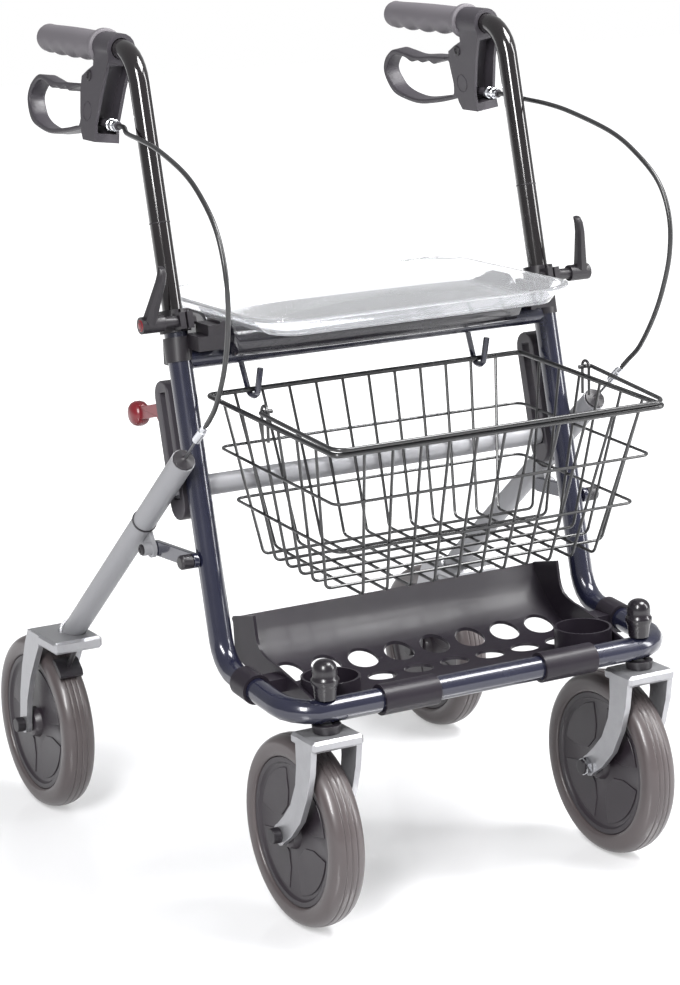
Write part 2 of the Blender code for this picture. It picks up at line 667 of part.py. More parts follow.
def make_basket():
    """A welded wire basket: a lattice of wires in its floor and walls, and a thicker rim."""
    across, along = 12, 7
    levels = basket_levels()
    bm = bmesh.new()

    def row(level, side):
        drop, half, rear, front = levels[level]
        if side in ("front", "rear"):
            forward = front if side == "front" else rear
            return [basket_point(-half + 2 * half * i / across, forward, drop) for i in range(across + 1)]
        x = half if side == "left" else -half
        return [basket_point(x, rear + (front - rear) * i / along, drop) for i in range(along + 1)]

    grids = []
    for side in ("front", "rear", "left", "right"):
        grids.append([row(level, side) for level in range(len(levels))])
    drop, half, rear, front = levels[-1]
    grids.append([[basket_point(-half + 2 * half * i / across, rear + (front - rear) * j / along, drop)
                   for i in range(across + 1)] for j in range(along + 1)])
    for grid in grids:
        verts = [[bm.verts.new(point) for point in line] for line in grid]
        for low, high in zip(verts, verts[1:]):
            for i in range(len(low) - 1):
                bm.faces.new((low[i], low[i + 1], high[i + 1], high[i]))
    bmesh.ops.remove_doubles(bm, verts=bm.verts, dist=0.0005)
    lattice = shape(bm)
    wires = lattice.modifiers.new("wires", "WIREFRAME")
    wires.thickness = BASKET_WIRE
    wires.use_even_offset = False
    wires.use_boundary = True
    bpy.context.view_layer.update()
    evaluated = lattice.evaluated_get(bpy.context.evaluated_depsgraph_get())
    mesh = bpy.data.meshes.new_from_object(evaluated)
    lattice.modifiers.clear()
    lattice.data = mesh
    drop, half, rear, front = levels[0]
    loop = [basket_point(half, rear, 0), basket_point(half, front, 0),
            basket_point(-half, front, 0), basket_point(-half, rear, 0)]
    start = (loop[0] + loop[-1]) / 2
    rim_path = rounded([start, *loop, start], (0.008,) * 4, 3)
    union(lattice, closed_tube(rim_path[:-1], BASKET_RIM_R, 8))
    for _, sign in SIDES:
        union(lattice, bail_ear(sign))
    node("basket", lattice, "black_wire", basket_point(0, 0, 0))


def closed_tube(path, radius, sides):
    """A round bar that closes on itself, in the basket's tilted rim plane."""
    normal = Vector((0, math.sin(BASKET_TILT), math.cos(BASKET_TILT)))
    loops = []
    count = len(path)
    for i, point in enumerate(path):
        tangent = (path[(i + 1) % count] - path[i - 1]).normalized()
        side = tangent.cross(normal).normalized()
        loops.append([point + (side * math.cos(a) + normal * math.sin(a)) * radius
                      for a in (2.0 * math.pi * (k + 0.5) / sides for k in range(sides))])
    return loft(loops, closed=True)


def bail_pivot(sign):
    """Where the bail's end turns in its ear, over the middle of the side rim."""
    return basket_point(sign * BASKET_HALF, BAIL_FORWARD, -BAIL_LIFT)


def bail_ear(sign):
    """A hairpin of wire on the side rim that holds the bail's end."""
    centre = bail_pivot(sign)
    points = [centre + Vector((0, -0.0060, -0.0300)), centre + Vector((0, -0.0060, 0.0060)),
              centre + Vector((0, 0.0060, 0.0060)), centre + Vector((0, 0.0060, -0.0300))]
    return tube(rounded(points, (0.0059, 0.0059), 4), 0.0016, 6)


def make_bail():
    """The basket's carrying handle, folded forward onto the rim."""
    lift = BASKET_RIM_R + BAIL_R + GAP
    points = []
    for _, sign in SIDES:
        pivot = bail_pivot(sign)
        end = pivot + Vector((-sign * 0.0085, 0, 0))
        outer = pivot + Vector((sign * 0.0060, 0, 0))
        front = basket_point(sign * BASKET_HALF, BASKET_DEPTH + 0.0020, -lift)
        points.append([end, outer, front])
    path = points[0] + points[1][::-1]
    bail = tube(rounded(path, (0.0040, 0.0150, 0.0150, 0.0040), 4), BAIL_R, 6)
    node("basket_bail", bail, "black_wire", bail_pivot(0.0))


def basket_hook(sign):
    """A bent wire under the seat's cross tube that holds the basket's rear rim."""
    wire = 0.0033
    x = sign * 0.1385
    rim = basket_point(x, 0.0, 0.0)
    reach = BASKET_RIM_R + GAP + wire + 0.0005
    points = [Vector((x - 0.0115, SEAT_TUBE.y + SEAT_TUBE_R - 0.0015, SEAT_TUBE.z - 0.0030)),
              Vector((x - 0.0010, rim.y + reach, rim.z - reach)),
              Vector((x + 0.0010, rim.y - reach, rim.z - reach)),
              Vector((x + 0.0050, rim.y - reach - 0.002, rim.z + 0.0230))]
    return tube(rounded(points, (reach * 0.8, reach * 0.8), 3), wire, 6)


# Shelf

def shelf_profile():
    """The shelf's curved section from its back top edge to the front bar."""
    back_y = STEM_Y + SHELF_DEPTH
    points = [Vector((0, back_y, BAR_Z + 0.0500)), Vector((0, back_y - 0.0430, BAR_Z - 0.0100)),
              Vector((0, STEM_Y + 0.0300, BAR_Z - 0.0110)), Vector((0, STEM_Y + 0.0180, BAR_Z - 0.0080))]
    return rounded(points, (0.1100, 0.0200), 6)


def make_shelf():
    """A curved plastic shelf with drain holes, end walls, cup rings and clips on the tube."""
    line = shelf_profile()
    lower, upper = [], []
    for i, point in enumerate(line):
        tangent = (line[min(i + 1, len(line) - 1)] - line[max(i - 1, 0)]).normalized()
        normal = Vector((0, tangent.z, -tangent.y))
        if normal.z < 0:
            normal.negate()
        upper.append((point.y, point.z))
        lower.append((point.y - normal.y * SHELF_SHEET, point.z - normal.z * SHELF_SHEET))
    shelf = prism(upper + lower[::-1], -SHELF_HALF, SHELF_HALF)
    wall = [point for point in lower if point[0] < STEM_Y + 0.1400]
    wall += [(STEM_Y + y, BAR_Z + z) for y, z in (
        (0.0190, 0.0020), (0.0600, 0.0120), (0.1020, 0.0200), (0.1330, 0.0260), (0.1450, 0.0390),
        (0.1500, 0.0620), (SHELF_DEPTH, 0.0510), (SHELF_DEPTH - 0.0025, 0.0085))]
    cup_y = STEM_Y + 0.0520
    for _, sign in SIDES:
        union(shelf, prism(wall, *sorted((sign * (SHELF_HALF - SHELF_SHEET), sign * SHELF_HALF))))
        union(shelf, side_clip(sign))
        union(shelf, front_clip(sign * 0.0950))
        outer = CUP_R + 0.0025
        cup = lathe([(CUP_R, -0.0120), (outer, -0.0120), (outer, CUP_TOP), (CUP_R, CUP_TOP)],
                    (sign * CUP_X, cup_y, BAR_Z), (0, 0, 1), 16, closed=True)
        union(shelf, cup)
    for i in range(DRAIN_HOLES):
        across = (i - (DRAIN_HOLES - 1) / 2) * DRAIN_SPACING
        cut(shelf, drain_hole(across, STEM_Y + 0.1385, 0.0165, 0.0150))
        cut(shelf, drain_hole(across, STEM_Y + 0.0985, 0.0165, 0.0125))
    node("shelf", shelf, "black_plastic")


def drain_hole(x, y, rx, ry):
    """A tall oval cutter through the shelf's floor."""
    turns = [2.0 * math.pi * (i + 0.5) / 8 for i in range(8)]
    return loft([[Vector((x + rx * math.cos(a), y + ry * math.sin(a), z)) for a in turns]
                 for z in (BAR_Z - 0.03, BAR_Z + 0.06)])


def front_clip(x):
    """A clip that wraps over the front bar."""
    centre = Vector((0, STEM_Y, BAR_Z))
    half = 0.0320
    outer = rod(at_x(centre, x - half), at_x(centre, x + half), TUBE_R + GAP + CLIP_WALL, 16)
    bridge = box((x - half, STEM_Y + 0.0050, BAR_Z - 0.0140), (x + half, STEM_Y + 0.0260, BAR_Z - 0.0075))
    union(outer, bridge)
    return cut(outer, hole(at_x(centre, x - half - 0.01), at_x(centre, x + half + 0.01), TUBE_R + GAP, 16))


def side_clip(sign):
    """A clip round the loop's side, joined to the shelf's end wall."""
    foot = upright_point(sign * UPRIGHT_X, 0.0)
    front = Vector((sign * UPRIGHT_X, STEM_Y, BAR_Z))
    along = (foot - front).normalized()
    start, end = front + along * 0.0800, front + along * 0.1090
    outer = rod(start, end, TUBE_R + GAP + CLIP_WALL, 16)
    x0, x1 = sorted((sign * (SHELF_HALF - 0.001), sign * (UPRIGHT_X - TUBE_R)))
    bridge = box((x0, start.y + 0.002, start.z - 0.0080), (x1, end.y - 0.002, start.z + 0.0060))
    union(outer, bridge)
    return cut(outer, hole(start - along * 0.02, end + along * 0.02, TUBE_R + GAP, 16))


# Casters and wheels

def make_stem_parts():
    """Knobs over the front bar and bearing cups under it."""
    for side, sign in SIDES:
        centre = (sign * STEM_X, STEM_Y, BAR_Z)
        base = TUBE_R + GAP
        profile = [(0.0112, base), (0.0122, base + 0.0120), (0.0143, base + 0.0170), (0.0143, base + 0.0210),
                   (0.0124, base + 0.0235), (0.0126, base + 0.0300), (0.0095, base + 0.0372),
                   (0.0020, base + 0.0402)]
        node("stem_knob_" + side, lathe(profile, centre, (0, 0, 1), 16), "black_plastic")
        cup_top = -TUBE_R - GAP
        cup_low = FORK_TOP_Z + GAP - BAR_Z
        cup = lathe([(0.0070, cup_top), (0.0150, cup_top), (0.0135, cup_low), (0.0070, cup_low)],
                    centre, (0, 0, 1), 16, closed=True)
        node("stem_bearing_" + side, cup, "black_plastic")


def prong(path, widths, x0, x1):
    """A flat curved arm from a centre line of (y, z) points and half widths."""
    left, right = [], []
    for i, (y, z) in enumerate(path):
        ay, az = path[max(i - 1, 0)]
        by, bz = path[min(i + 1, len(path) - 1)]
        length = math.hypot(by - ay, bz - az)
        ny, nz = -(bz - az) / length, (by - ay) / length
        left.append((y + ny * widths[i], z + nz * widths[i]))
        right.append((y - ny * widths[i], z - nz * widths[i]))
    return prism(left + list(reversed(right)), *sorted((x0, x1)))


# The prongs' centre lines, as shares of the way back to the axle and of the wheel's radius
FRONT_PRONG = ((-0.037, 1.85), (0.074, 1.60), (0.333, 1.33), (0.667, 1.14), (1.0, 1.0))
REAR_PRONG = ((0.22, 1.19), (0.22, 1.12), (0.42, 0.95), (0.70, 0.65), (0.89, 0.35), (1.0, 0.0))


def make_front_fork(side, sign):
    """A cast caster fork with its stem; the wheel trails behind the stem."""
    x = sign * STEM_X
    plate_low = FORK_TOP_Z - FORK_PLATE
    outer = PRONG_INNER + PRONG_THICK
    fork = box((x - outer, STEM_Y - 0.0250, plate_low), (x + outer, STEM_Y + 0.0240, FORK_TOP_Z), 0.003)
    path = [(STEM_Y - 0.004, FORK_TOP_Z - 0.003)]
    path += [(STEM_Y + CASTER_TRAIL * back, WHEEL_R * up) for back, up in FRONT_PRONG]
    widths = (0.0170, 0.0145, 0.0125, 0.0120, 0.0118, 0.0105)
    for way in (-1, 1):
        arm = prong(path, widths, x + way * PRONG_INNER, x + way * outer)
        union(fork, arm)
        union(fork, rod((x + way * PRONG_INNER, STEM_Y + CASTER_TRAIL, WHEEL_R),
                        (x + way * outer, STEM_Y + CASTER_TRAIL, WHEEL_R), 0.0115, 12))
    union(fork, rod((x, STEM_Y, FORK_TOP_Z - 0.002), (x, STEM_Y, BAR_Z - TUBE_R - 0.001), 0.0062, 12))
    axle_y = STEM_Y + CASTER_TRAIL
    cut(fork, hole((x - 0.05, axle_y, WHEEL_R), (x + 0.05, axle_y, WHEEL_R), AXLE_R + GAP, 10))
    node("front_fork_" + side, fork, "silver_paint", (x, STEM_Y, 0.0))


def make_rear_fork(side, sign):
    """The cast fork at the leg's end, with its socket over the leg and the brake block's bore."""
    x = sign * REAR_WHEEL_X
    outer = PRONG_INNER + PRONG_THICK
    face, out = shoe_face(sign)
    low = REAR_AXLE.z + WHEEL_R + WHEEL_CLEAR
    front, back = (face + out * SHOE_STEM).y - 0.0057, LEG_END.y + 0.0281
    fork = box((x - outer, front, low), (x + outer, back, low + REAR_PLATE), 0.003)
    path = [(LEG_END.y + AXLE_BEHIND_LEG * behind, REAR_AXLE.z + WHEEL_R * up) for behind, up in REAR_PRONG]
    widths = (0.0158, 0.0158, 0.0150, 0.0120, 0.0100, 0.0092)
    for way in (-1, 1):
        union(fork, prong(path, widths, x + way * PRONG_INNER, x + way * outer))
        union(fork, rod(at_x(REAR_AXLE, x + way * PRONG_INNER), at_x(REAR_AXLE, x + way * outer),
                        0.0105, 12))
    leg_end = at_x(LEG_END, sign * LEG_X)
    socket_start = leg_end - LEG_DOWN * 0.0160
    union(fork, rod(socket_start, leg_end + LEG_DOWN * 0.0060, LEG_R + 0.0035, 18))
    cut(fork, hole(socket_start - LEG_DOWN * 0.02, leg_end + LEG_DOWN * GAP, LEG_R + GAP, 18))
    cut(fork, hole(at_x(REAR_AXLE, x - 0.05), at_x(REAR_AXLE, x + 0.05), AXLE_R + GAP, 10))
    cut(fork, hole(face + out * 0.0250, face + out * (SHOE_STEM + GAP), SHOE_STEM_R + GAP, 10))
    node("rear_fork_" + side, fork, "silver_paint", at_x(CROSS_CENTRE, 0.0))


def make_wheel(name, x, y, z):
    """One wheel: a tyre, a disc hub and the axle that carries them."""
    centre = (x, y, z)
    half = TYRE_WIDTH / 2
    wall, shoulder = WHEEL_R - 0.0120, WHEEL_R - 0.0045
    tyre = lathe([(TYRE_INNER_R, -half + 0.0030), (wall, -half), (shoulder, -half + 0.0050),
                  (WHEEL_R, -0.0060), (WHEEL_R, 0.0060), (shoulder, half - 0.0050), (wall, half),
                  (TYRE_INNER_R, half - 0.0030)], centre, (1, 0, 0), WHEEL_SIDES, closed=True)
    node(name + "_tyre", tyre, "tyre_grey", centre)
    rim = TYRE_INNER_R - GAP
    hub_half = HUB_WIDTH / 2
    bore = AXLE_R + RUN
    boss = PRONG_INNER - HUB_SIDE_GAP
    hub = lathe([(bore, -boss), (HUB_BOSS_R, -boss), (HUB_BOSS_R + 0.002, -hub_half),
                 (rim, -hub_half), (rim, hub_half), (HUB_BOSS_R + 0.002, hub_half),
                 (HUB_BOSS_R, boss), (bore, boss)], centre, (1, 0, 0), WHEEL_SIDES, closed=True)
    node(name + "_hub", hub, "hub_grey", centre)
    outer = PRONG_INNER + PRONG_THICK
    cap = outer + AXLE_CAP
    axle = lathe([(0.0080, -cap), (0.0085, -outer - GAP), (AXLE_R, -outer - GAP),
                  (AXLE_R, outer + GAP), (0.0085, outer + GAP), (0.0080, cap)], centre, (1, 0, 0), 12)
    node(name + "_axle", axle, "black_plastic", centre)


def shoe_face(sign):
    """The middle of the brake block's face and the direction away from the tyre."""
    out = Vector((0, math.cos(SHOE_ANGLE), math.sin(SHOE_ANGLE)))
    return at_x(REAR_AXLE, sign * REAR_WHEEL_X) + out * (WHEEL_R + SHOE_OFF), out


def make_brake_shoe(side, sign):
    """The brake block just off the tyre, with the stem that guides it in the rear fork."""
    face, out = shoe_face(sign)
    along = Vector((0, -out.z, out.y))
    loops = []
    for dx in (-0.0140, 0.0140):
        loops.append([face + Vector((dx, 0, 0)) + along * a + out * b for a, b in (
            (-0.0130, 0.0), (0.0130, 0.0), (0.0130, 0.0035), (0.0075, 0.0065), (-0.0075, 0.0065),
            (-0.0130, 0.0035))])
    shoe = loft(loops)
    union(shoe, rod(face + out * 0.0050, face + out * SHOE_STEM, SHOE_STEM_R, 10))
    node("brake_shoe_" + side, shoe, "black_plastic", face)


# Rear frame

def make_rear_frame():
    """The silver legs with their link ears and rivets, the cable stops and the tube between them."""
    ear_low = LINK_X + LINK_THICK / 2 + SLIP
    ear_high = ear_low + EAR_THICK
    for side, sign in SIDES:
        x = sign * LEG_X
        top = at_x(CROSS_CENTRE, x) - LEG_DOWN * LEG_ABOVE
        end = at_x(LEG_END, x)
        leg = rod(top, end, LEG_R, 16)
        cut(leg, hole(top - LEG_DOWN * 0.01, top + LEG_DOWN * 0.0300, LEG_R - TUBE_WALL, 16))
        ear = rod(at_x(LINK_REAR, sign * ear_low), at_x(LINK_REAR, sign * ear_high), 0.0100, 14)
        root = CROSS_CENTRE + LEG_DOWN * LINK_ALONG + LEG_UNDER * 0.0040
        tab = [root + LEG_DOWN * 0.0120, root - LEG_DOWN * 0.0120,
               LINK_REAR - LEG_DOWN * 0.0095, LINK_REAR + LEG_DOWN * 0.0095]
        union(ear, prism([(p.y, p.z) for p in tab], *sorted((sign * ear_low, sign * ear_high))))
        head = at_x(LINK_REAR, sign * (ear_high + 0.0090))
        union(ear, rod(at_x(LINK_REAR, sign * (ear_high - 0.001)), head, LINK_HEAD_R, 12))
        union(leg, ear)
        node("rear_leg_" + side, leg, "silver_paint", CROSS_CENTRE)
        plug_r = LEG_R - TUBE_WALL - GAP
        stop = lathe([(plug_r, -0.0140), (plug_r, GAP), (LEG_R - 0.0005, GAP), (LEG_R - 0.0010, 0.0022),
                      (0.0040, 0.0040), (0.0013, 0.0060), (0.0013, STOP_END - 0.0290),
                      (0.0045, STOP_END - 0.0270), (0.0045, STOP_END - 0.0080), (0.0036, STOP_END - 0.0070),
                      (0.0036, STOP_END)], top, -LEG_DOWN, 12)
        node("cable_stop_" + side, stop, "bright_metal", CROSS_CENTRE)
    tube_end = UPRIGHT_X - RAIL_WIDTH / 2 - SLIP
    pin_end = LEG_X - LEG_R - GAP
    cross = rod(at_x(CROSS_CENTRE, -tube_end), at_x(CROSS_CENTRE, tube_end), CROSS_R, 16)
    for _, sign in SIDES:
        union(cross, rod(at_x(CROSS_CENTRE, sign * (tube_end - 0.004)), at_x(CROSS_CENTRE, sign * pin_end),
                         CROSS_PIN_R, 12))
    node("rear_cross_tube", cross, "silver_paint", CROSS_CENTRE)


def make_slide_blocks():
    """Blocks in the rails' slots that carry the cross tube's pins."""
    for side, sign in SIDES:
        x = sign * UPRIGHT_X
        half = SLOT_HALF - GAP
        loops = [[upright_point(x + dx, CROSS_UP + up, CROSS_BEHIND + behind)
                  for up, behind in ((-BLOCK_HALF, -half), (BLOCK_HALF, -half),
                                     (BLOCK_HALF, half), (-BLOCK_HALF, half))]
                 for dx in (-RAIL_WIDTH / 2 + 0.001, RAIL_WIDTH / 2 - 0.001)]
        block = loft(loops)
        cut(block, hole(at_x(CROSS_CENTRE, x - 0.02), at_x(CROSS_CENTRE, x + 0.02), CROSS_PIN_R + GAP, 12))
        node("slide_block_" + side, block, "bright_metal", CROSS_CENTRE)


def make_links():
    """Flat bars that steady the rear frame from the uprights."""
    outer = LINK_X + LINK_THICK / 2
    for side, sign in SIDES:
        x0, x1 = sorted((sign * (LINK_X - LINK_THICK / 2), sign * outer))
        along = (LINK_REAR - LINK_FRONT).normalized()
        across = Vector((0, along.z, -along.y))
        outline = []
        for centre, start in ((LINK_REAR, 90), (LINK_FRONT, 270)):
            for i in range(7):
                a = math.radians(start - 180 * i / 6)
                point = centre + (along * math.cos(a) + across * math.sin(a)) * LINK_HALF
                outline.append((point.y, point.z))
        link = prism(outline, x0, x1)
        cut(link, hole(at_x(LINK_FRONT, x0 - 0.01), at_x(LINK_FRONT, x1 + 0.01), STUD_R + RUN, 10))
        node("link_" + side, link, "navy_paint", LINK_FRONT)
        nut = lathe([(STUD_R + GAP, 0.0108), (STUD_R + GAP, 0.0), (0.0078, 0.0), (0.0078, 0.0110),
                     (0.0060, 0.0132)], at_x(LINK_FRONT, sign * (outer + SLIP)), (sign, 0, 0), 12)
        node("link_nut_" + side, nut, "black_plastic", LINK_FRONT)


# Handles

def handle_corner(sign):
    return upright_point(sign * UPRIGHT_X, UPRIGHT_LENGTH + HANDLE_RISE)


def grip_direction(sign):
    """Along a grip towards the user, slightly inwards and upwards."""
    return Vector((-sign * math.tan(GRIP_TOE), math.cos(GRIP_SLOPE), math.sin(GRIP_SLOPE))).normalized()


def make_handles():
    for side, sign in SIDES:
        corner = handle_corner(sign)
        low = upright_point(sign * UPRIGHT_X, UPRIGHT_LENGTH - HANDLE_INSERT)
        end = corner + grip_direction(sign) * (GRIP_START + GRIP_LENGTH - 0.0060)
        path = rounded([low, corner, end], (HANDLE_BEND,), 7)
        node("handle_tube_" + side, tube(path, HANDLE_TUBE_R, 16, Vector((1, 0, 0))), "dark_tube")
        make_grip(side, sign, corner)
        make_housing(side, sign)
        make_brake_lever(side, sign)


def make_grip(side, sign, corner):
    """A closed rubber grip with finger waves below and a flange in front."""
    along = grip_direction(sign)
    start = corner + along * GRIP_START
    sections = [(0.0, GRIP_FLANGE_R, 0), (0.0070, GRIP_FLANGE_R, 0), (0.0085, 0.0150, 0)]
    waves = 9
    for i in range(1, waves + 1):
        place = 0.0085 + (GRIP_LENGTH - 0.0200) * i / (waves + 1)
        sections.append((place, GRIP_R, 0.0010 if i % 2 else -0.0008))
    sections += [(GRIP_LENGTH - 0.0060, GRIP_R, 0), (GRIP_LENGTH, 0.0120, 0)]
    up = Vector((0, -along.z, along.y))
    loops = []
    for place, radius, wave in sections:
        ring = []
        for k in range(12):
            a = 2.0 * math.pi * k / 12
            r = radius + wave * max(0.0, -math.cos(a))
            ring.append(start + along * place + (up * math.cos(a) + Vector((1, 0, 0)) * math.sin(a)) * r)
        loops.append(ring)
    grip = loft(loops)
    cut(grip, hole(start - along * 0.01, start + along * (GRIP_LENGTH - 0.0050), HANDLE_TUBE_R + GAP, 16))
    node("grip_" + side, grip, "grip_rubber")


def housing_centre(sign):
    """The brake housing's clamp centre on the handle tube."""
    return handle_corner(sign) + grip_direction(sign) * (GRIP_START - GAP - HOUSING_LENGTH / 2)


def housing_roll(sign):
    """Turns the housing's own axes onto the grip and sets its foot outwards."""
    along = grip_direction(sign)
    across = (Vector((1, 0, 0)) - along * along.x).normalized()
    axes = Matrix((across, along, across.cross(along))).transposed()
    return Matrix.Rotation(-sign * HOUSING_ROLL, 3, along) @ axes


def housing_point(sign, across, behind, above):
    """A point of the rolled housing, from its clamp centre."""
    return housing_centre(sign) + housing_roll(sign) @ Vector((across, behind, above))


def roll_housing(made, sign):
    centre = housing_centre(sign)
    turned = Matrix.Translation(centre) @ housing_roll(sign).to_4x4()
    made.data.transform(turned)
    return made


def make_housing(side, sign):
    """The brake housing: a clamp on the tube over a body hollowed from the front and the rear."""
    half = HOUSING_LENGTH / 2
    w = HOUSING_WIDTH / 2
    ring = rod((0, -HOUSING_FRONT, 0), (0, half, 0), HANDLE_TUBE_R + 0.0053, 18)
    outline = [(-HOUSING_FRONT, -0.0040), (-HOUSING_FRONT, -0.0140), (-0.0055, -0.0420), (0.0045, -0.0800),
               (0.0015, -0.0980), (0.0325, -0.0980), (0.0385, -0.0900), (0.0445, -0.0700),
               (0.0485, -0.0480), (0.0475, -0.0330), (0.0340, -0.0260), (0.0205, -0.0205), (0.0205, -0.0040)]
    union(ring, prism(outline, -w, w))
    front = [(-0.0400, -0.0175), (0.0010, -0.0175), (0.0110, -0.0400), (0.0190, -0.0620),
             (0.0215, -0.0890), (-0.0400, -0.0890)]
    rear = [(0.0085, -0.0220), (0.0150, -0.0400), (0.0225, -0.0620), (0.0250, -0.0870), (0.0800, -0.0870),
            (0.0800, -0.0220)]
    for hollow in (front, rear):
        cut(ring, prism(hollow, -w + HOUSING_WALL, w - HOUSING_WALL))
    cut(ring, hole((0, -half - 0.01, 0), (0, half + 0.01, 0), HANDLE_TUBE_R + GAP, 18))
    behind, above = LEVER_PIVOT
    union(ring, rod((-w + 0.001, behind, above), (w - 0.001, behind, above), LEVER_PIN_R, 8))
    boss_behind, boss_above = CABLE_BOSS
    union(ring, rod((0, 0.0250, boss_above), (0, boss_behind, boss_above), FERRULE_R, 10))
    roll_housing(ring, sign)
    node("brake_housing_" + side, ring, "grey_plastic", housing_centre(sign))


def make_brake_lever(side, sign):
    """A closed loop lever: finger waves under its upper bar, its lower bar back to the housing."""
    w = LEVER_WIDTH / 2
    outer = [(-0.0040, 0.0060), (0.0080, 0.0060), (0.0220, -0.0085), (0.0700, -0.0120), (0.1000, -0.0140),
             (0.1250, -0.0110), (0.1460, -0.0090), (0.1600, -0.0150), (0.1700, -0.0240), (0.1740, -0.0360),
             (0.1680, -0.0500), (0.1560, -0.0610), (0.1350, -0.0665), (0.1040, -0.0695), (0.0700, -0.0660),
             (0.0400, -0.0610), (0.0100, -0.0540), (0.0030, -0.0480), (-0.0020, -0.0350), (-0.0040, -0.0200)]
    inner = [(0.0270, -0.0170), (0.0500, -0.0170), (0.0620, -0.0205), (0.0740, -0.0170), (0.0860, -0.0205),
             (0.0980, -0.0185), (0.1100, -0.0210), (0.1240, -0.0165), (0.1440, -0.0150), (0.1580, -0.0220),
             (0.1680, -0.0350), (0.1600, -0.0480), (0.1500, -0.0555), (0.1320, -0.0610), (0.1040, -0.0640),
             (0.0700, -0.0605), (0.0400, -0.0555), (0.0260, -0.0500)]
    behind, above = LEVER_PIVOT
    outer = [(y + behind, z + above) for y, z in outer]
    inner = [(y + behind, z + above) for y, z in inner]
    lever = prism(outer, -w, w)
    cut(lever, prism(inner, -w - 0.01, w + 0.01))
    cut(lever, hole((-0.03, behind, above), (0.03, behind, above), LEVER_PIN_R + RUN, 10))
    roll_housing(lever, sign)
    node("brake_lever_" + side, lever, "grey_plastic", housing_point(sign, 0.0, behind, above))


# Brake cables

def smooth_route(points, steps):
    """Points of a smooth curve through the route's own points."""
    path = []
    last = len(points) - 1
    for i in range(last):
        p0, p1 = points[max(i - 1, 0)], points[i]
        p2, p3 = points[i + 1], points[min(i + 2, last)]
        for k in range(steps):
            t = k / steps
            path.append(0.5 * ((2 * p1) + (p2 - p0) * t + (2 * p0 - 5 * p1 + 4 * p2 - p3) * t * t
                               + (3 * p1 - p0 - 3 * p2 + p3) * t * t * t))
    path.append(points[-1])
    return path


# Half width, distance behind the front bar and height of points along the right cable
CABLE_ROUTE = ((0.241, 0.2845, 0.7890), (0.245, 0.2455, 0.7860), (0.247, 0.2025, 0.7800),
               (0.252, 0.1365, 0.7640), (0.255, 0.0955, 0.7450), (0.258, 0.0600, 0.7180),
               (0.259, 0.0425, 0.6840), (0.258, 0.0400, 0.6460), (0.256, 0.0490, 0.6080),
               (0.254, 0.0640, 0.5740), (0.252, 0.0860, 0.5410))


def make_cables():
    """Brake cable casings from the housings' bosses to the stops on the legs."""
    for side, sign in SIDES:
        leg_top = at_x(CROSS_CENTRE, sign * LEG_X) - LEG_DOWN * LEG_ABOVE
        boss_behind, boss_above = CABLE_BOSS
        first = housing_point(sign, 0.0, boss_behind - GAP, boss_above)
        second = housing_point(sign, 0.0, boss_behind - 0.0140, boss_above)
        last = leg_top - LEG_DOWN * (STOP_END + GAP)
        route = [first, second]
        route += [Vector((sign * x, STEM_Y + behind, z)) for x, behind, z in CABLE_ROUTE]
        route += [last - LEG_DOWN * 0.0140, last]
        path = smooth_route(route, 3)
        curve = bpy.data.curves.new("brake_cable_" + side, "CURVE")
        curve.dimensions = "3D"
        curve.bevel_depth = CABLE_R
        curve.bevel_resolution = 2
        curve.use_fill_caps = True
        spline = curve.splines.new("POLY")
        spline.points.add(len(path) - 1)
        for point, place in zip(spline.points, path):
            point.co = (*place, 1.0)
        curve.materials.append(material("black_plastic"))
        cable = bpy.data.objects.new("brake_cable_" + side, curve)
        bpy.context.scene.collection.objects.link(cable)


def main():
    for existing in list(bpy.data.objects):
        bpy.data.objects.remove(existing, do_unlink=True)
    make_front_frame()
    make_seat_tube()
    make_rails()
    make_latch()
    make_collars()
    make_clamp_levers()
    make_seat_brackets()
    make_seat()
    make_tray()
    make_basket()
    make_bail()
    make_shelf()
    make_stem_parts()
    for side, sign in SIDES:
        make_front_fork(side, sign)
        make_rear_fork(side, sign)
        make_wheel("front_" + side, sign * STEM_X, STEM_Y + CASTER_TRAIL, WHEEL_R)
        make_wheel("rear_" + side, sign * REAR_WHEEL_X, REAR_AXLE.y, REAR_AXLE.z)
        make_brake_shoe(side, sign)
    make_rear_frame()
    make_slide_blocks()
    make_links()
    make_handles()
    make_cables()


main()
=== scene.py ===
"""Dressed model of the rollator: smooth tubes, wire basket, ribbed wheels, clear tray and studio light.

Metres, +Z up, the walker travels towards -Y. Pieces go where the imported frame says.
"""
import json
import math

import bmesh
import bpy
from mathutils import Matrix, Vector


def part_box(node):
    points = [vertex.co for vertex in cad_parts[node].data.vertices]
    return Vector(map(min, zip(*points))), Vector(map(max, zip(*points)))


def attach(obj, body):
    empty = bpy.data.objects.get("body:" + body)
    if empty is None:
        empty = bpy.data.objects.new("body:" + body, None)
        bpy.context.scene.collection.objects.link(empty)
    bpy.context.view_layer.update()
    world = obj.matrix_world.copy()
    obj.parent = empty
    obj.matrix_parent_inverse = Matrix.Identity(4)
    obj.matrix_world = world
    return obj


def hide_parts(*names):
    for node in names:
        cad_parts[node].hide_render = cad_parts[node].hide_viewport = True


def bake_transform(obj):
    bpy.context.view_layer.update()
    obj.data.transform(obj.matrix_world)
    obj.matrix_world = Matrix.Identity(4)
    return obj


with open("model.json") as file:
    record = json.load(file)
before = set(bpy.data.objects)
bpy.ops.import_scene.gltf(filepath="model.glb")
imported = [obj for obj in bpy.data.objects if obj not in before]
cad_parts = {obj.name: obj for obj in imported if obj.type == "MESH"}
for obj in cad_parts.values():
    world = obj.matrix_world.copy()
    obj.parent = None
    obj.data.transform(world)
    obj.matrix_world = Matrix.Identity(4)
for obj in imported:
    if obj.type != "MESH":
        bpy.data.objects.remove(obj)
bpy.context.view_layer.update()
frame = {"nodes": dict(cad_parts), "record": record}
NODES = frame["nodes"]

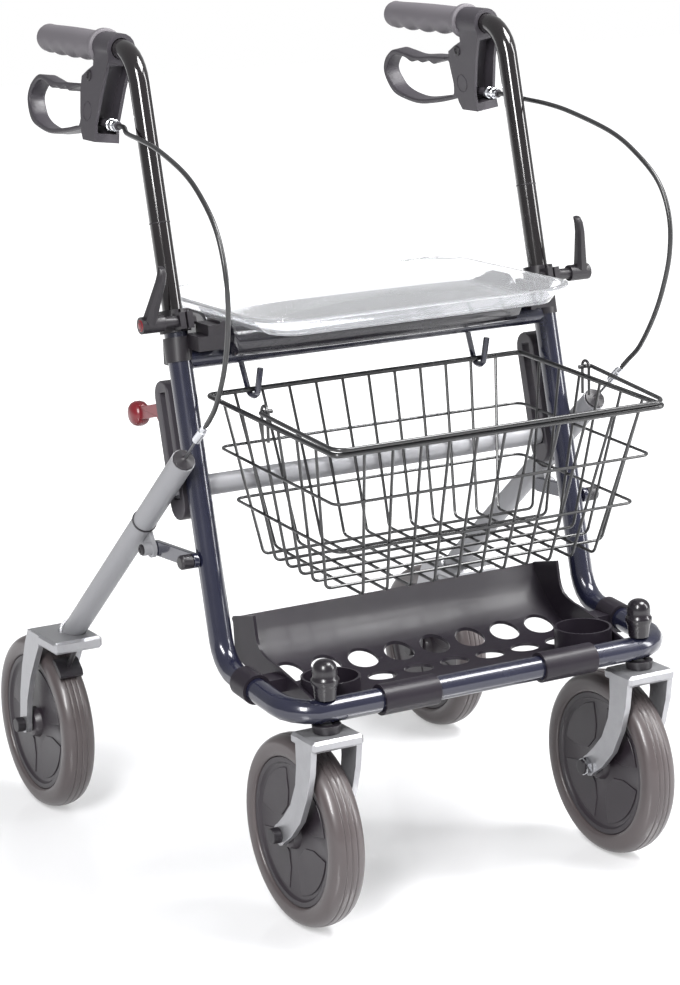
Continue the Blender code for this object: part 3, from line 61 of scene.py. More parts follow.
# Sizes that the dressed pieces share with the frame
GAP = 0.0003
STEM_Y = -0.2947
BAR_Z = 0.2400
TUBE_R = 0.0125
UPRIGHT_X = 0.2225
FOOT_DEPTH = 0.1493
FOOT_RISE = 0.0130
LEAN = math.radians(13.5)
UPRIGHT_LENGTH = 0.3660
HANDLE_RISE = 0.2690
GRIP_SLOPE = math.radians(0.6)
GRIP_TOE = math.radians(1.1)
GRIP_START = 0.0716
GRIP_LENGTH = 0.1590
GRIP_R = 0.0155
GRIP_FLANGE_R = 0.0190
FINGERS = 4.0
FINGER_DEPTH = 0.0016
HOUSING_LENGTH = 0.0440
HOUSING_ROLL = math.radians(7.5)
HOUSING_HALF = 0.0140
LEVER_PIVOT = (0.0285, -0.0310)
LEVER_HALF = 0.00975
CABLE_BOSS = (-0.0240, -0.0785)
HOUSING_MARK = (0.0270, -0.0680)
ADJUSTER_IN = 0.0210
LEG_X = 0.2500
LEG_ANGLE = math.radians(63.7)
LEG_ABOVE = 0.0660
LEG_R = 0.0125
LINK_ALONG = 0.0792
LINK_UNDER = 0.0251
LINK_HEAD_X = 0.2560
CROSS_UP = 0.1869
CROSS_BEHIND = 0.0270
STOP_END = 0.0680
WHEEL_R = 0.1000
TRAIL = 0.0540
TYRE_WIDTH = 0.0370
TYRE_INNER_R = 0.0780
STEM_X = 0.1880
SEAT_TUBE_UP = 0.3180
SEAT_TUBE_R = 0.0110
SEAT_HALF = 0.1900
SEAT_AHEAD = 0.0435
SEAT_BEHIND = 0.0795
SEAT_THICK = 0.0205
SEAT_HORN = 0.0130
SEAT_HORN_X = 0.1710
SEAT_HORN_RUN = 0.0150
SEAT_NOTCH_X = 0.1760
SEAT_LIP = 0.0110
SEAT_BOW = (0.0120, 0.0100)     # front and back edge
TRAY_HALF = 0.1885
TRAY_AHEAD = 0.1300
TRAY_BEHIND = 0.1440
TRAY_HEIGHT = 0.0190
TRAY_WALL = 0.0025
TRAY_TAPER = 0.0200
TRAY_CORNER = 0.0450
TRAY_FLOOR_CORNER = 0.0120
TRAY_END_SLOPE = 0.6            # front and back walls, as a part of the side walls' slope
BASKET_HALF = 0.1920
BASKET_BEHIND = 0.0025
BASKET_UNDER = 0.0412
BASKET_DEPTH = 0.2685
BASKET_TILT = math.radians(3.4)
BASKET_DROP = 0.1590
BASKET_TAPERS = (0.170, 0.283, 0.257)
BASKET_RIM_R = 0.0027
WIRES_ACROSS = 12
WIRES_ALONG = 7
WIRE_BEND_R = 0.0070
RING_DROPS = (0.0531, 0.1061)
RING_CORNER_R = 0.0100
RIM_CORNER_R = 0.0080
BAIL_FORWARD = 0.1260
BAIL_LIFT = 0.0110
BAIL_R = 0.0022
BAIL_PIN_IN = 0.0085
BAIL_PIN_OUT = 0.0060
SHELF_HALF = 0.1880
SHELF_DEPTH = 0.1960
SHELF_SHEET = 0.0030
DRAIN_HOLES = 8
DRAIN_SPACING = 0.0440
DRAIN_ROWS = ((0.1385, 0.0165, 0.0150), (0.0985, 0.0165, 0.0125))   # behind the bar, half sizes
CLIP_X = 0.0950
CLIP_HALF = 0.0320
CLIP_WALL = 0.0030
SIDE_CLIP = (0.0800, 0.1090)
SIDE_CLIP_HALF = 0.0145
CUP_R = 0.0280
CUP_X = 0.1530
CUP_BEHIND = 0.0520
CUP_BOTTOM = 0.0120
CUP_TOP = 0.0170
CUP_WALL = 0.0025
CABLE_R = 0.0026
CABLE_STRAIGHT = 0.0140
WIRE_R = 0.0016
CLAMP_UP = 0.3560
CLAMP_AHEAD = 0.0225
CLAMP_CAP_X = 0.2703
LEG_BAND_ALONG = 0.0635
HANDLE_SEAM_UP = 0.4587
AXLE_NUT_OUT = 0.0293
LATCH_PAD_R = 0.0135
LATCH_TIP = 0.0100
CABLE_BUSH = 0.0058
CABLE_ADJUSTER = 0.0290
SIDES = (("right", -1.0), ("left", 1.0))
FACES = (("a", -1), ("b", 1))

UP = Vector((0.0, math.sin(LEAN), math.cos(LEAN)))
BACK = Vector((0.0, math.cos(LEAN), -math.sin(LEAN)))
FOOT = Vector((0.0, STEM_Y + FOOT_DEPTH, BAR_Z + FOOT_RISE))


def upright_point(x, up, behind=0.0):
    """A point at a distance up an upright's axis and behind it."""
    return Vector((x, 0.0, 0.0)) + FOOT + UP * up + BACK * behind


def at_x(point, x):
    return Vector((x, point.y, point.z))


CROSS_CENTRE = upright_point(0.0, CROSS_UP, CROSS_BEHIND)
LEG_DOWN = -UP * math.cos(LEG_ANGLE) + BACK * math.sin(LEG_ANGLE)
SEAT_TUBE = upright_point(0.0, SEAT_TUBE_UP)
SEAT_Z = SEAT_TUBE.z + SEAT_TUBE_R + GAP + SEAT_THICK
BASKET_RIM = SEAT_TUBE + Vector((0.0, BASKET_BEHIND, -BASKET_UNDER))


# Materials

COAT_ROUGHNESS = 0.08
NOISE_ROUGHNESS = 0.55


def feed(tree, node, inputs):
    """Set a node's inputs to values, or link them to other nodes' outputs."""
    for key, value in inputs.items():
        if isinstance(value, bpy.types.NodeSocket):
            tree.links.new(value, node.inputs[key])
        else:
            node.inputs[key].default_value = value


def add_node(tree, kind, inputs, operation=None):
    """A new shader node with its inputs fed."""
    node = tree.nodes.new(kind)
    if operation:
        node.operation = operation
    feed(tree, node, inputs)
    return node


def noise(tree, coords, scale, detail):
    """A noise texture in object space."""
    texture = add_node(tree, "ShaderNodeTexNoise", {
        "Scale": scale, "Detail": detail, "Roughness": NOISE_ROUGHNESS,
        "Vector": coords.outputs["Object"]})
    return texture.outputs["Fac"]


def spread(tree, source, low, high):
    """Map a noise value's middle part onto a range."""
    node = add_node(tree, "ShaderNodeMapRange", {
        "From Min": 0.3, "From Max": 0.7, "To Min": low, "To Max": high, "Value": source})
    return node.outputs["Result"]


def surface(name, colour, rough, metallic=0.0, coat=0.0, tint=0.12, patch=14.0, grain=900.0,
            bump=0.10, depth=0.0002, rough_spread=0.06, specular=0.5):
    """A material with patches of tint, uneven gloss and a fine grain."""
    made = bpy.data.materials.new(name)
    made.use_nodes = True
    tree = made.node_tree
    coords = tree.nodes.new("ShaderNodeTexCoord")
    broad = noise(tree, coords, patch, 4.0)
    fine = noise(tree, coords, grain, 2.0)
    mix = tree.nodes.new("ShaderNodeMix")
    mix.data_type = "RGBA"
    # A colour mix has its two colours at inputs 6 and 7 and its result at output 2
    feed(tree, mix, {0: broad, 6: (*[c * (1 - tint) for c in colour], 1.0),
                     7: (*[min(1.0, c * (1 + tint)) for c in colour], 1.0)})
    relief = add_node(tree, "ShaderNodeBump", {"Strength": bump, "Distance": depth, "Height": fine})
    feed(tree, tree.nodes["Principled BSDF"], {
        "Metallic": metallic, "Specular IOR Level": specular, "Coat Weight": coat,
        "Coat Roughness": COAT_ROUGHNESS, "Base Color": mix.outputs[2],
        "Roughness": spread(tree, broad, rough - rough_spread, rough + rough_spread),
        "Normal": relief.outputs["Normal"]})
    return made


def clear_surface(name):
    """Thin clear plastic with a little haze."""
    made = surface(name, (0.94, 0.95, 0.97), 0.05, tint=0.02, bump=0.05, grain=45.0, depth=0.0008,
                   rough_spread=0.02)
    tree = made.node_tree
    feed(tree, tree.nodes["Principled BSDF"], {"IOR": 1.50, "Transmission Weight": 0.86})
    return made


LOOKS = {
    "navy_paint": surface("navy_paint_look", (0.012, 0.013, 0.030), 0.24, 0.15, coat=0.7, tint=0.10,
                          grain=420.0, bump=0.05, depth=0.0003),
    "dark_tube": surface("dark_tube_look", (0.010, 0.008, 0.009), 0.15, 0.25, coat=0.8, tint=0.10,
                         grain=300.0, bump=0.03),
    "silver_paint": surface("silver_paint_look", (0.30, 0.30, 0.315), 0.50, 0.25, coat=0.10, tint=0.05,
                            grain=1400.0, bump=0.12),
    "black_plastic": surface("black_plastic_look", (0.012, 0.010, 0.013), 0.40, tint=0.16, grain=1600.0,
                             bump=0.20),
    "grey_plastic": surface("grey_plastic_look", (0.038, 0.034, 0.041), 0.46, tint=0.14, grain=1500.0,
                            bump=0.24),
    "grip_rubber": surface("grip_rubber_look", (0.125, 0.116, 0.128), 0.54, tint=0.12, grain=1100.0,
                           bump=0.30),
    "tyre_grey": surface("tyre_grey_look", (0.070, 0.057, 0.058), 0.38, tint=0.10, grain=700.0,
                         bump=0.14, coat=0.20),
    "hub_grey": surface("hub_grey_look", (0.020, 0.015, 0.020), 0.36, tint=0.10, grain=1300.0, bump=0.22),
    "bright_metal": surface("bright_metal_look", (0.66, 0.67, 0.70), 0.24, 1.0, tint=0.08, grain=500.0,
                            bump=0.08),
    "red_plastic": surface("red_plastic_look", (0.160, 0.006, 0.012), 0.34, coat=0.2, tint=0.10,
                           grain=900.0, bump=0.08),
    "clear_plastic": clear_surface("clear_plastic_look"),
    "black_wire": surface("black_wire_look", (0.012, 0.012, 0.013), 0.30, 0.1, coat=0.35, tint=0.12,
                          grain=600.0, bump=0.10),
    "seat_vinyl": surface("seat_vinyl_look", (0.010, 0.009, 0.014), 0.24, coat=0.60, tint=0.12,
                          grain=800.0, bump=0.14, depth=0.0003),
}
CASING = surface("cable_casing_look", (0.017, 0.017, 0.018), 0.34, coat=0.2, grain=1200.0, bump=0.10)
GLOSSY = surface("glossy_moulding_look", (0.014, 0.011, 0.016), 0.38, coat=0.05, tint=0.14, grain=1100.0,
                 bump=0.08, specular=0.25)
CAST = surface("cast_silver_look", (0.35, 0.35, 0.365), 0.36, 0.70, coat=0.20, tint=0.18, patch=70.0,
               grain=330.0, bump=0.42, depth=0.0005)
KNOB = surface("polished_knob_look", (0.008, 0.006, 0.009), 0.26, coat=0.15, tint=0.12, grain=700.0,
               bump=0.04)
WIRE = surface("inner_wire_look", (0.16, 0.16, 0.17), 0.38, 0.80, tint=0.10, grain=1500.0, bump=0.12)
NUT = surface("bright_nut_look", (0.60, 0.61, 0.63), 0.22, 1.0, tint=0.08, grain=800.0, bump=0.06)


# Mesh building

def skin(bm, loops, closed, caps=True):
    """Faces between loops of points, with the ends capped where they don't meet."""
    rings = [[bm.verts.new(point) for point in loop] for loop in loops]
    pairs = list(zip(rings, rings[1:]))
    if closed:
        pairs.append((rings[-1], rings[0]))
    for low, high in pairs:
        for i in range(len(low)):
            j = (i + 1) % len(low)
            bm.faces.new((low[i], low[j], high[j], high[i]))
    if not closed and caps:
        bm.faces.new(list(reversed(rings[0])))
        bm.faces.new(rings[-1])


def mesh_piece(name, loops, slot, closed=False, caps=True, look=None, sharp=35.0):
    """Skin over loops of points as a named, smooth shaded piece."""
    bm = bmesh.new()
    skin(bm, loops, closed, caps)
    return finish_piece(name, bm, slot, look, sharp)


def finish_piece(name, bm, slot, look=None, sharp=35.0):
    """Turn a bmesh into an object with outward faces, shading and its material."""
    bmesh.ops.recalc_face_normals(bm, faces=bm.faces)
    mesh = bpy.data.meshes.new(name)
    bm.to_mesh(mesh)
    bm.free()
    made = bpy.data.objects.new(name, mesh)
    bpy.context.scene.collection.objects.link(made)
    return dress(made, slot, look, sharp)


def dress(made, slot, look=None, sharp=35.0):
    """Give a piece its material, picked by its slot unless a look is given, and smooth shading."""
    made.data.materials.clear()
    made.data.materials.append(look or LOOKS[slot])
    made.data.shade_smooth()
    made.data.set_sharp_from_angle(angle=math.radians(sharp))
    return made


def rounded(points, radii, steps=6):
    """A polyline with each inner corner turned into an arc of its radius."""
    path = [Vector(points[0])]
    for before, corner, after, radius in zip(points, points[1:], points[2:], radii):
        corner = Vector(corner)
        come = (Vector(before) - corner).normalized()
        leave = (Vector(after) - corner).normalized()
        half = come.angle(leave) / 2.0
        centre = corner + (come + leave).normalized() * (radius / math.sin(half))
        start = corner + come * (radius / math.tan(half))
        normal = come.cross(leave).normalized()
        sweep = math.pi - 2.0 * half
        for i in range(steps + 1):
            path.append(centre + Matrix.Rotation(-sweep * i / steps, 3, normal) @ (start - centre))
    path.append(Vector(points[-1]))
    return path


def tube_loops(path, radius, sides, closed=False):
    """Rings of a round bar along a path."""
    count = len(path)
    loops = []
    side = None
    for i, point in enumerate(path):
        before = path[i - 1] if (i or closed) else point
        after = path[(i + 1) % count] if (i + 1 < count or closed) else point
        tangent = (after - before).normalized()
        side = side or tangent.orthogonal()
        side = (side - tangent * side.dot(tangent)).normalized()
        other = tangent.cross(side)
        loops.append([point + (side * math.cos(a) + other * math.sin(a)) * radius
                      for a in (2.0 * math.pi * k / sides for k in range(sides))])
    return loops


def curve_point(p0, p1, p2, p3, t):
    """A point from p1 to p2 on the smooth curve through four points."""
    return 0.5 * ((2 * p1) + (p2 - p0) * t + (2 * p0 - 5 * p1 + 4 * p2 - p3) * t * t
                  + (3 * p1 - p0 - 3 * p2 + p3) * t * t * t)


def turned(name, profile, centre, axis, slot, steps, closed=False, look=None, sharp=35.0):
    """A profile of (radius, height) points turned about an axis."""
    axis = Vector(axis).normalized()
    side = Vector((0, 0, 1)) if abs(axis.z) < 0.9 else Vector((1, 0, 0))
    side = (side - axis * side.dot(axis)).normalized()
    other = axis.cross(side)
    centre = Vector(centre)
    loops = [[centre + axis * height + (side * math.cos(a) + other * math.sin(a)) * radius
              for a in (2.0 * math.pi * i / steps for i in range(steps))] for radius, height in profile]
    return mesh_piece(name, loops, slot, closed, look=look, sharp=sharp)


def boolean(target, tool, operation):
    """Apply one exact Boolean and remove the tool."""
    modifier = target.modifiers.new("cut", "BOOLEAN")
    modifier.operation = operation
    modifier.solver = "EXACT"
    modifier.object = tool
    bpy.context.view_layer.update()
    mesh = bpy.data.meshes.new_from_object(target.evaluated_get(bpy.context.evaluated_depsgraph_get()))
    target.modifiers.clear()
    target.data = mesh
    bpy.data.objects.remove(tool, do_unlink=True)
    return target


def soften(piece, width, segments=2, angle=32.0, weld=True):
    """Round a piece's sharp edges and even out its shading."""
    if weld:
        merge = piece.modifiers.new("merge", "WELD")
        merge.merge_threshold = 0.00001
    bevel = piece.modifiers.new("edges", "BEVEL")
    bevel.width = width
    bevel.segments = segments
    bevel.limit_method = "ANGLE"
    bevel.angle_limit = math.radians(angle)
    bevel.use_clamp_overlap = True
    shade = piece.modifiers.new("shade", "WEIGHTED_NORMAL")
    shade.weight = 50
    shade.keep_sharp = False
    return piece


def place(piece, body, *replaced):
    """Let a piece ride on a body and stand for frame nodes."""
    if replaced:
        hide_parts(*replaced)
    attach(piece, body)
    return piece


# Frame nodes that keep their shape

# Width of the rounded edges of nodes with this in their names
EDGES = {
    "frame_tube": 0.0008, "seat_cross_tube": 0.0006, "rail": 0.0012, "fold_latch": 0.0010,
    "clamp_collar": 0.0008, "clamp_lever": 0.0008, "seat_bracket": 0.0010, "stem_bearing": 0.0006,
    "front_fork": 0.0034, "rear_fork": 0.0034, "axle": 0.0006, "brake_shoe": 0.0008,
    "rear_leg": 0.0007, "cable_stop": 0.0003, "rear_cross_tube": 0.0006, "slide_block": 0.0006,
    "link_": 0.0007, "brake_housing": 0.0011, "handle_tube": 0.0005,
}


def slot_of(name):
    for entry in frame["record"]["subparts"]:
        if entry["node"] == name:
            return entry["material_slot"]
    return "black_plastic"


def dress_nodes():
    """Give every frame node its look and rounded edges."""
    for name, piece in NODES.items():
        mesh = piece.data
        mesh.materials.clear()
        mesh.materials.append(CAST if "fork" in name else LOOKS[slot_of(name)])
        if mesh.has_custom_normals:
            mesh.attributes.remove(mesh.attributes["custom_normal"])
        mesh.shade_smooth()
        for key, width in EDGES.items():
            if key in name:
                soften(piece, width)
                break


def split_cable_stops():
    """A dark bush in the leg's end, a thin wire and a bright adjuster: one node, three looks."""
    for side, sign in SIDES:
        mesh = NODES["cable_stop_" + side].data
        top = at_x(CROSS_CENTRE, sign * LEG_X) - LEG_DOWN * LEG_ABOVE
        mesh.materials.append(LOOKS["black_plastic"])
        mesh.materials.append(WIRE)
        for face in mesh.polygons:
            height = (face.center - top).dot(-LEG_DOWN)
            face.material_index = 1 if height < CABLE_BUSH else 2 if height < STOP_END - CABLE_ADJUSTER else 0


# Wheels

TREAD_FROM_R = 0.0855
SHOULDER = 0.62         # below 1 squares the tread's shoulders
GROOVES = (-0.34, 0.0, 0.34)    # as parts of the half width
GROOVE_DEPTH = 0.0010
GROOVE_WIDTH = 0.030


def tyre_profile():
    """Half-rounded tread with fine ribs, bulging sidewalls and a bead at the hub."""
    half = TYRE_WIDTH / 2
    outer = []
    turns = 72
    for i in range(turns + 1):
        a = math.pi * i / turns
        across = -math.cos(a)
        reach = math.sin(a) ** SHOULDER
        radius = TREAD_FROM_R + (WHEEL_R - TREAD_FROM_R) * reach
        for groove in GROOVES:
            radius -= GROOVE_DEPTH * math.exp(-((across - groove) / GROOVE_WIDTH) ** 2)
        outer.append((radius, across * half))
    inner = [(0.0815, half - 0.0004), (0.0790, half - 0.0016), (TYRE_INNER_R, half - 0.0030),
             (TYRE_INNER_R, -half + 0.0030), (0.0790, -half + 0.0016), (0.0815, -half + 0.0004)]
    return outer + inner


def hub_profile():
    """Disc hub: rim lip, recessed face, centre boss, both sides alike."""
    rim = TYRE_INNER_R - GAP
    side = [(0.0056, 0.0205), (0.0120, 0.0205), (0.0150, 0.0196), (0.0168, 0.0165), (0.0180, 0.0128),
            (0.0215, 0.0118), (0.0690, 0.0118), (0.0705, 0.0125), (0.0722, 0.0146), (0.0740, 0.0150),
            (rim - 0.0006, 0.0150), (rim, 0.0144)]
    return [(r, -h) for r, h in side] + [(r, h) for r, h in reversed(side)]


def sector_plate(name, centre, side, angle):
    """One of the four raised plates on a hub's face."""
    low, high = 0.0116, 0.0127
    inner_r, knee_r, outer_r = 0.0265, 0.0420, 0.0660
    wide = math.radians(34.0)
    narrow = wide * 0.62
    outline = [(outer_r, -wide + 2 * wide * i / 12) for i in range(13)]
    outline += [(knee_r, wide), (inner_r, narrow), (inner_r, -narrow), (knee_r, -wide)]
    flat = [(r * math.cos(angle + a), r * math.sin(angle + a)) for r, a in outline]
    loops = [[Vector(centre) + Vector((side * h, y, z)) for y, z in flat] for h in (low, high)]
    return mesh_piece(name, loops, "hub_grey")


def node_centre(name):
    """The middle of a frame node's box."""
    spots = [vert.co for vert in NODES[name].data.vertices]
    return Vector([(min(p[i] for p in spots) + max(p[i] for p in spots)) / 2 for i in range(3)])


def make_wheel(name, body):
    """A tyre, a hub and four plates on each of its faces."""
    centre = node_centre(name + "_tyre")
    tyre = turned(name + "_tyre_round", tyre_profile(), centre, (1, 0, 0), "tyre_grey", 96, True, sharp=50.0)
    place(tyre, body, name + "_tyre")
    hub = turned(name + "_hub_round", hub_profile(), centre, (1, 0, 0), "hub_grey", 72, True)
    place(hub, body, name + "_hub")
    for face, side in FACES:
        for i in range(4):
            plate = sector_plate("%s_hub_plate_%s_%d" % (name, face, i), centre, side,
                                 math.radians(45.0 + 90.0 * i))
            soften(plate, 0.0006, weld=False)
            place(plate, body)


def make_wheels():
    for end in ("front", "rear"):
        for side, _ in SIDES:
            make_wheel(end + "_" + side, end + "_wheel_" + side)


# Basket

def basket_point(x, forward, drop):
    """A point in the tilted basket: forward of the rear rim and below it."""
    return Vector((x, BASKET_RIM.y - forward * math.cos(BASKET_TILT) + drop * math.sin(BASKET_TILT),
                   BASKET_RIM.z - forward * math.sin(BASKET_TILT) - drop * math.cos(BASKET_TILT)))


def basket_section(drop):
    side, rear, front = BASKET_TAPERS
    return BASKET_HALF - side * drop, rear * drop, BASKET_DEPTH - front * drop


def basket_ring(drop, corner, grow):
    """A closed path round the basket at one depth."""
    half, rear, front = basket_section(drop)
    half, rear, front = half + grow, rear - grow, front + grow
    loop = [basket_point(half, rear, drop), basket_point(half, front, drop),
            basket_point(-half, front, drop), basket_point(-half, rear, drop)]
    start = (loop[0] + loop[-1]) / 2
    return rounded([start, *loop, start], (corner,) * 4, 6)[:-1]


def join_loops(groups, name, slot):
    """Several bars as one mesh piece."""
    bm = bmesh.new()
    for loops, closed in groups:
        skin(bm, loops, closed)
    return finish_piece(name, bm, slot)


def make_basket():
    """Welded round wires: two sets of U-shaped wires, two rings and a thick rim."""
    floor_half, floor_rear, floor_front = basket_section(BASKET_DROP)
    bars = []
    for i in range(1, WIRES_ACROSS):
        t = -1 + 2 * i / WIRES_ACROSS
        points = [basket_point(BASKET_HALF * t, BASKET_DEPTH, 0),
                  basket_point(floor_half * t, floor_front, BASKET_DROP),
                  basket_point(floor_half * t, floor_rear, BASKET_DROP),
                  basket_point(BASKET_HALF * t, 0, 0)]
        bars.append((tube_loops(rounded(points, (WIRE_BEND_R, WIRE_BEND_R), 5), WIRE_R, 10), False))
    for i in range(1, WIRES_ALONG):
        t = i / WIRES_ALONG
        floor_y = floor_rear + (floor_front - floor_rear) * t
        drop = BASKET_DROP - 1.9 * WIRE_R       # welded on top of the first set
        points = [basket_point(BASKET_HALF, BASKET_DEPTH * t, 0), basket_point(floor_half, floor_y, drop),
                  basket_point(-floor_half, floor_y, drop), basket_point(-BASKET_HALF, BASKET_DEPTH * t, 0)]
        bars.append((tube_loops(rounded(points, (WIRE_BEND_R, WIRE_BEND_R), 5), WIRE_R, 10), False))
    for drop in RING_DROPS:
        bars.append((tube_loops(basket_ring(drop, RING_CORNER_R, WIRE_R * 1.2), WIRE_R, 10, True), True))
    bars.append((tube_loops(basket_ring(0.0, RIM_CORNER_R, 0.0), BASKET_RIM_R, 14, True), True))
    for _, sign in SIDES:
        centre = bail_pivot(sign)
        points = [centre + Vector((0, -0.0060, -0.0300)), centre + Vector((0, -0.0060, 0.0060)),
                  centre + Vector((0, 0.0060, 0.0060)), centre + Vector((0, 0.0060, -0.0300))]
        bars.append((tube_loops(rounded(points, (0.0059, 0.0059), 6), WIRE_R, 10), False))
    place(join_loops(bars, "basket_wires", "black_wire"), "basket", "basket")


def bail_pivot(sign):
    return basket_point(sign * BASKET_HALF, BAIL_FORWARD, -BAIL_LIFT)


def make_bail():
    """The basket's wire handle, lying over the front of the rim."""
    lift = BASKET_RIM_R + BAIL_R + GAP
    ends = []
    for _, sign in SIDES:
        pivot = bail_pivot(sign)
        ends.append([pivot + Vector((-sign * BAIL_PIN_IN, 0, 0)), pivot + Vector((sign * BAIL_PIN_OUT, 0, 0)),
                     basket_point(sign * BASKET_HALF, BASKET_DEPTH + 0.0020, -lift)])
    path = rounded(ends[0] + ends[1][::-1], (0.0040, 0.0150, 0.0150, 0.0040), 8)
    place(mesh_piece("bail_wire", tube_loops(path, BAIL_R, 14), "black_wire"), "bail", "basket_bail")


# Shelf

# The end wall's upper edge, behind and above the front bar
WALL_EDGE = ((0.0190, 0.0020), (0.0600, 0.0120), (0.1020, 0.0200), (0.1190, 0.0220), (0.1300, 0.0250),
             (0.1380, 0.0290), (0.1430, 0.0350), (0.1460, 0.0430), (0.1480, 0.0540), (0.1500, 0.0620),
             (SHELF_DEPTH, 0.0510), (SHELF_DEPTH - 0.0025, 0.0085))


def shelf_line():
    """The shelf's upper face from its raised back edge to the front bar."""
    back_y = STEM_Y + SHELF_DEPTH
    points = [Vector((0, back_y, BAR_Z + 0.0500)), Vector((0, back_y - 0.0430, BAR_Z - 0.0100)),
              Vector((0, STEM_Y + 0.0300, BAR_Z - 0.0110)), Vector((0, STEM_Y + 0.0180, BAR_Z - 0.0080))]
    return rounded(points, (0.1100, 0.0200), 18)


def slab(name, outline, low, high, slot="black_plastic"):
    """An outline of (y, z) points pushed from x = low to x = high."""
    return mesh_piece(name, [[Vector((x, y, z)) for y, z in outline] for x in (low, high)], slot)


def block(name, low, high):
    """A box between two corners."""
    (x0, y0, z0), (x1, y1, z1) = low, high
    x0, x1 = sorted((x0, x1))
    return slab(name, [(y0, z0), (y1, z0), (y1, z1), (y0, z1)], x0, x1)


def make_shelf():
    """The curved shelf with its rows of oval holes, end walls, cups and clips."""
    line = shelf_line()
    upper, lower = [], []
    for i, point in enumerate(line):
        tangent = (line[min(i + 1, len(line) - 1)] - line[max(i - 1, 0)]).normalized()
        normal = Vector((0, tangent.z, -tangent.y))
        if normal.z < 0:
            normal.negate()
        upper.append((point.y, point.z))
        lower.append((point.y - normal.y * SHELF_SHEET, point.z - normal.z * SHELF_SHEET))
    shelf = slab("shelf_moulding", upper + lower[::-1], -SHELF_HALF, SHELF_HALF)
    wall = [point for point in lower if point[0] < STEM_Y + 0.1400]
    wall += [(STEM_Y + y, BAR_Z + z) for y, z in WALL_EDGE]
    for _, sign in SIDES:
        x0, x1 = sorted((sign * (SHELF_HALF - SHELF_SHEET), sign * SHELF_HALF))
        boolean(shelf, slab("wall", wall, x0, x1), "UNION")
        outer_r = CUP_R + CUP_WALL
        section = [(CUP_R, -CUP_BOTTOM), (outer_r, -CUP_BOTTOM), (outer_r, CUP_TOP), (CUP_R, CUP_TOP)]
        cup = turned("cup", section, (sign * CUP_X, STEM_Y + CUP_BEHIND, BAR_Z), (0, 0, 1),
                     "black_plastic", 40, True)
        boolean(shelf, cup, "UNION")
        boolean(shelf, clip(sign * CLIP_X), "UNION")
        boolean(shelf, side_clip(sign), "UNION")
    for behind, rx, ry in DRAIN_ROWS:
        for i in range(DRAIN_HOLES):
            x, y = (i - (DRAIN_HOLES - 1) / 2) * DRAIN_SPACING, STEM_Y + behind
            turns = [2.0 * math.pi * (k + 0.5) / 32 for k in range(32)]
            cutter = mesh_piece("hole", [[Vector((x + rx * math.cos(a), y + ry * math.sin(a), z))
                                          for a in turns] for z in (BAR_Z - 0.03, BAR_Z + 0.06)],
                                "black_plastic")
            boolean(shelf, cutter, "DIFFERENCE")
    dress(shelf, "black_plastic", GLOSSY)
    soften(shelf, 0.0007)
    place(shelf, "front_frame", "shelf")


def clip_sleeve(centre, axis, half):
    """A sleeve that lies round a tube."""
    inner, outer = TUBE_R + GAP, TUBE_R + GAP + CLIP_WALL
    return turned("clip", [(inner, -half), (outer, -half), (outer, half), (inner, half)], centre, axis,
                  "black_plastic", 40, True)


def clip(x):
    """A clip that wraps over the front bar."""
    sleeve = clip_sleeve((x, STEM_Y, BAR_Z), (1, 0, 0), CLIP_HALF)
    bridge = block("bridge", (x - CLIP_HALF, STEM_Y + 0.0138, BAR_Z - 0.0140),
                   (x + CLIP_HALF, STEM_Y + 0.0260, BAR_Z - 0.0075))
    return boolean(sleeve, bridge, "UNION")


def side_clip(sign):
    """A clip round the loop's side, joined to the shelf's end wall."""
    foot = upright_point(sign * UPRIGHT_X, 0.0)
    front = Vector((sign * UPRIGHT_X, STEM_Y, BAR_Z))
    along = (foot - front).normalized()
    start, end = (front + along * distance for distance in SIDE_CLIP)
    sleeve = clip_sleeve((start + end) / 2, along, SIDE_CLIP_HALF)
    bridge = block("bridge", (sign * (SHELF_HALF - 0.001), start.y + 0.002, start.z - 0.0080),
                   (sign * (UPRIGHT_X - TUBE_R - 0.001), end.y - 0.002, start.z + 0.0060))
    return boolean(sleeve, bridge, "UNION")


# Seat and tray

def seat_ring(x, y0, y1, low, high, lip):
    """The board's section: a full round nose in front with a lip under it, a round back and a crowned top."""
    nose, tail = (high - low + lip) / 2, (high - low) / 2
    ring = []
    for k in range(17):
        a = math.radians(90.0 + 180.0 * k / 16)
        ring.append(Vector((x, y0 + nose + nose * math.cos(a), high - nose + nose * math.sin(a))))
    for ahead, drop in ((0.0020, lip), (0.0040, lip * 0.6), (0.0060, 0.0), (0.0200, 0.0)):
        ring.append(Vector((x, y0 + nose + ahead, low - drop)))
    for k in range(11):
        a = math.radians(-90.0 + 180.0 * k / 10)
        ring.append(Vector((x, y1 - tail + tail * math.cos(a), (low + high) / 2 + tail * math.sin(a))))
    for k in range(1, 6):
        t = k / 6
        ring.append(Vector((x, y1 - tail + (y0 + nose - y1 + tail) * t, high)))
    return ring


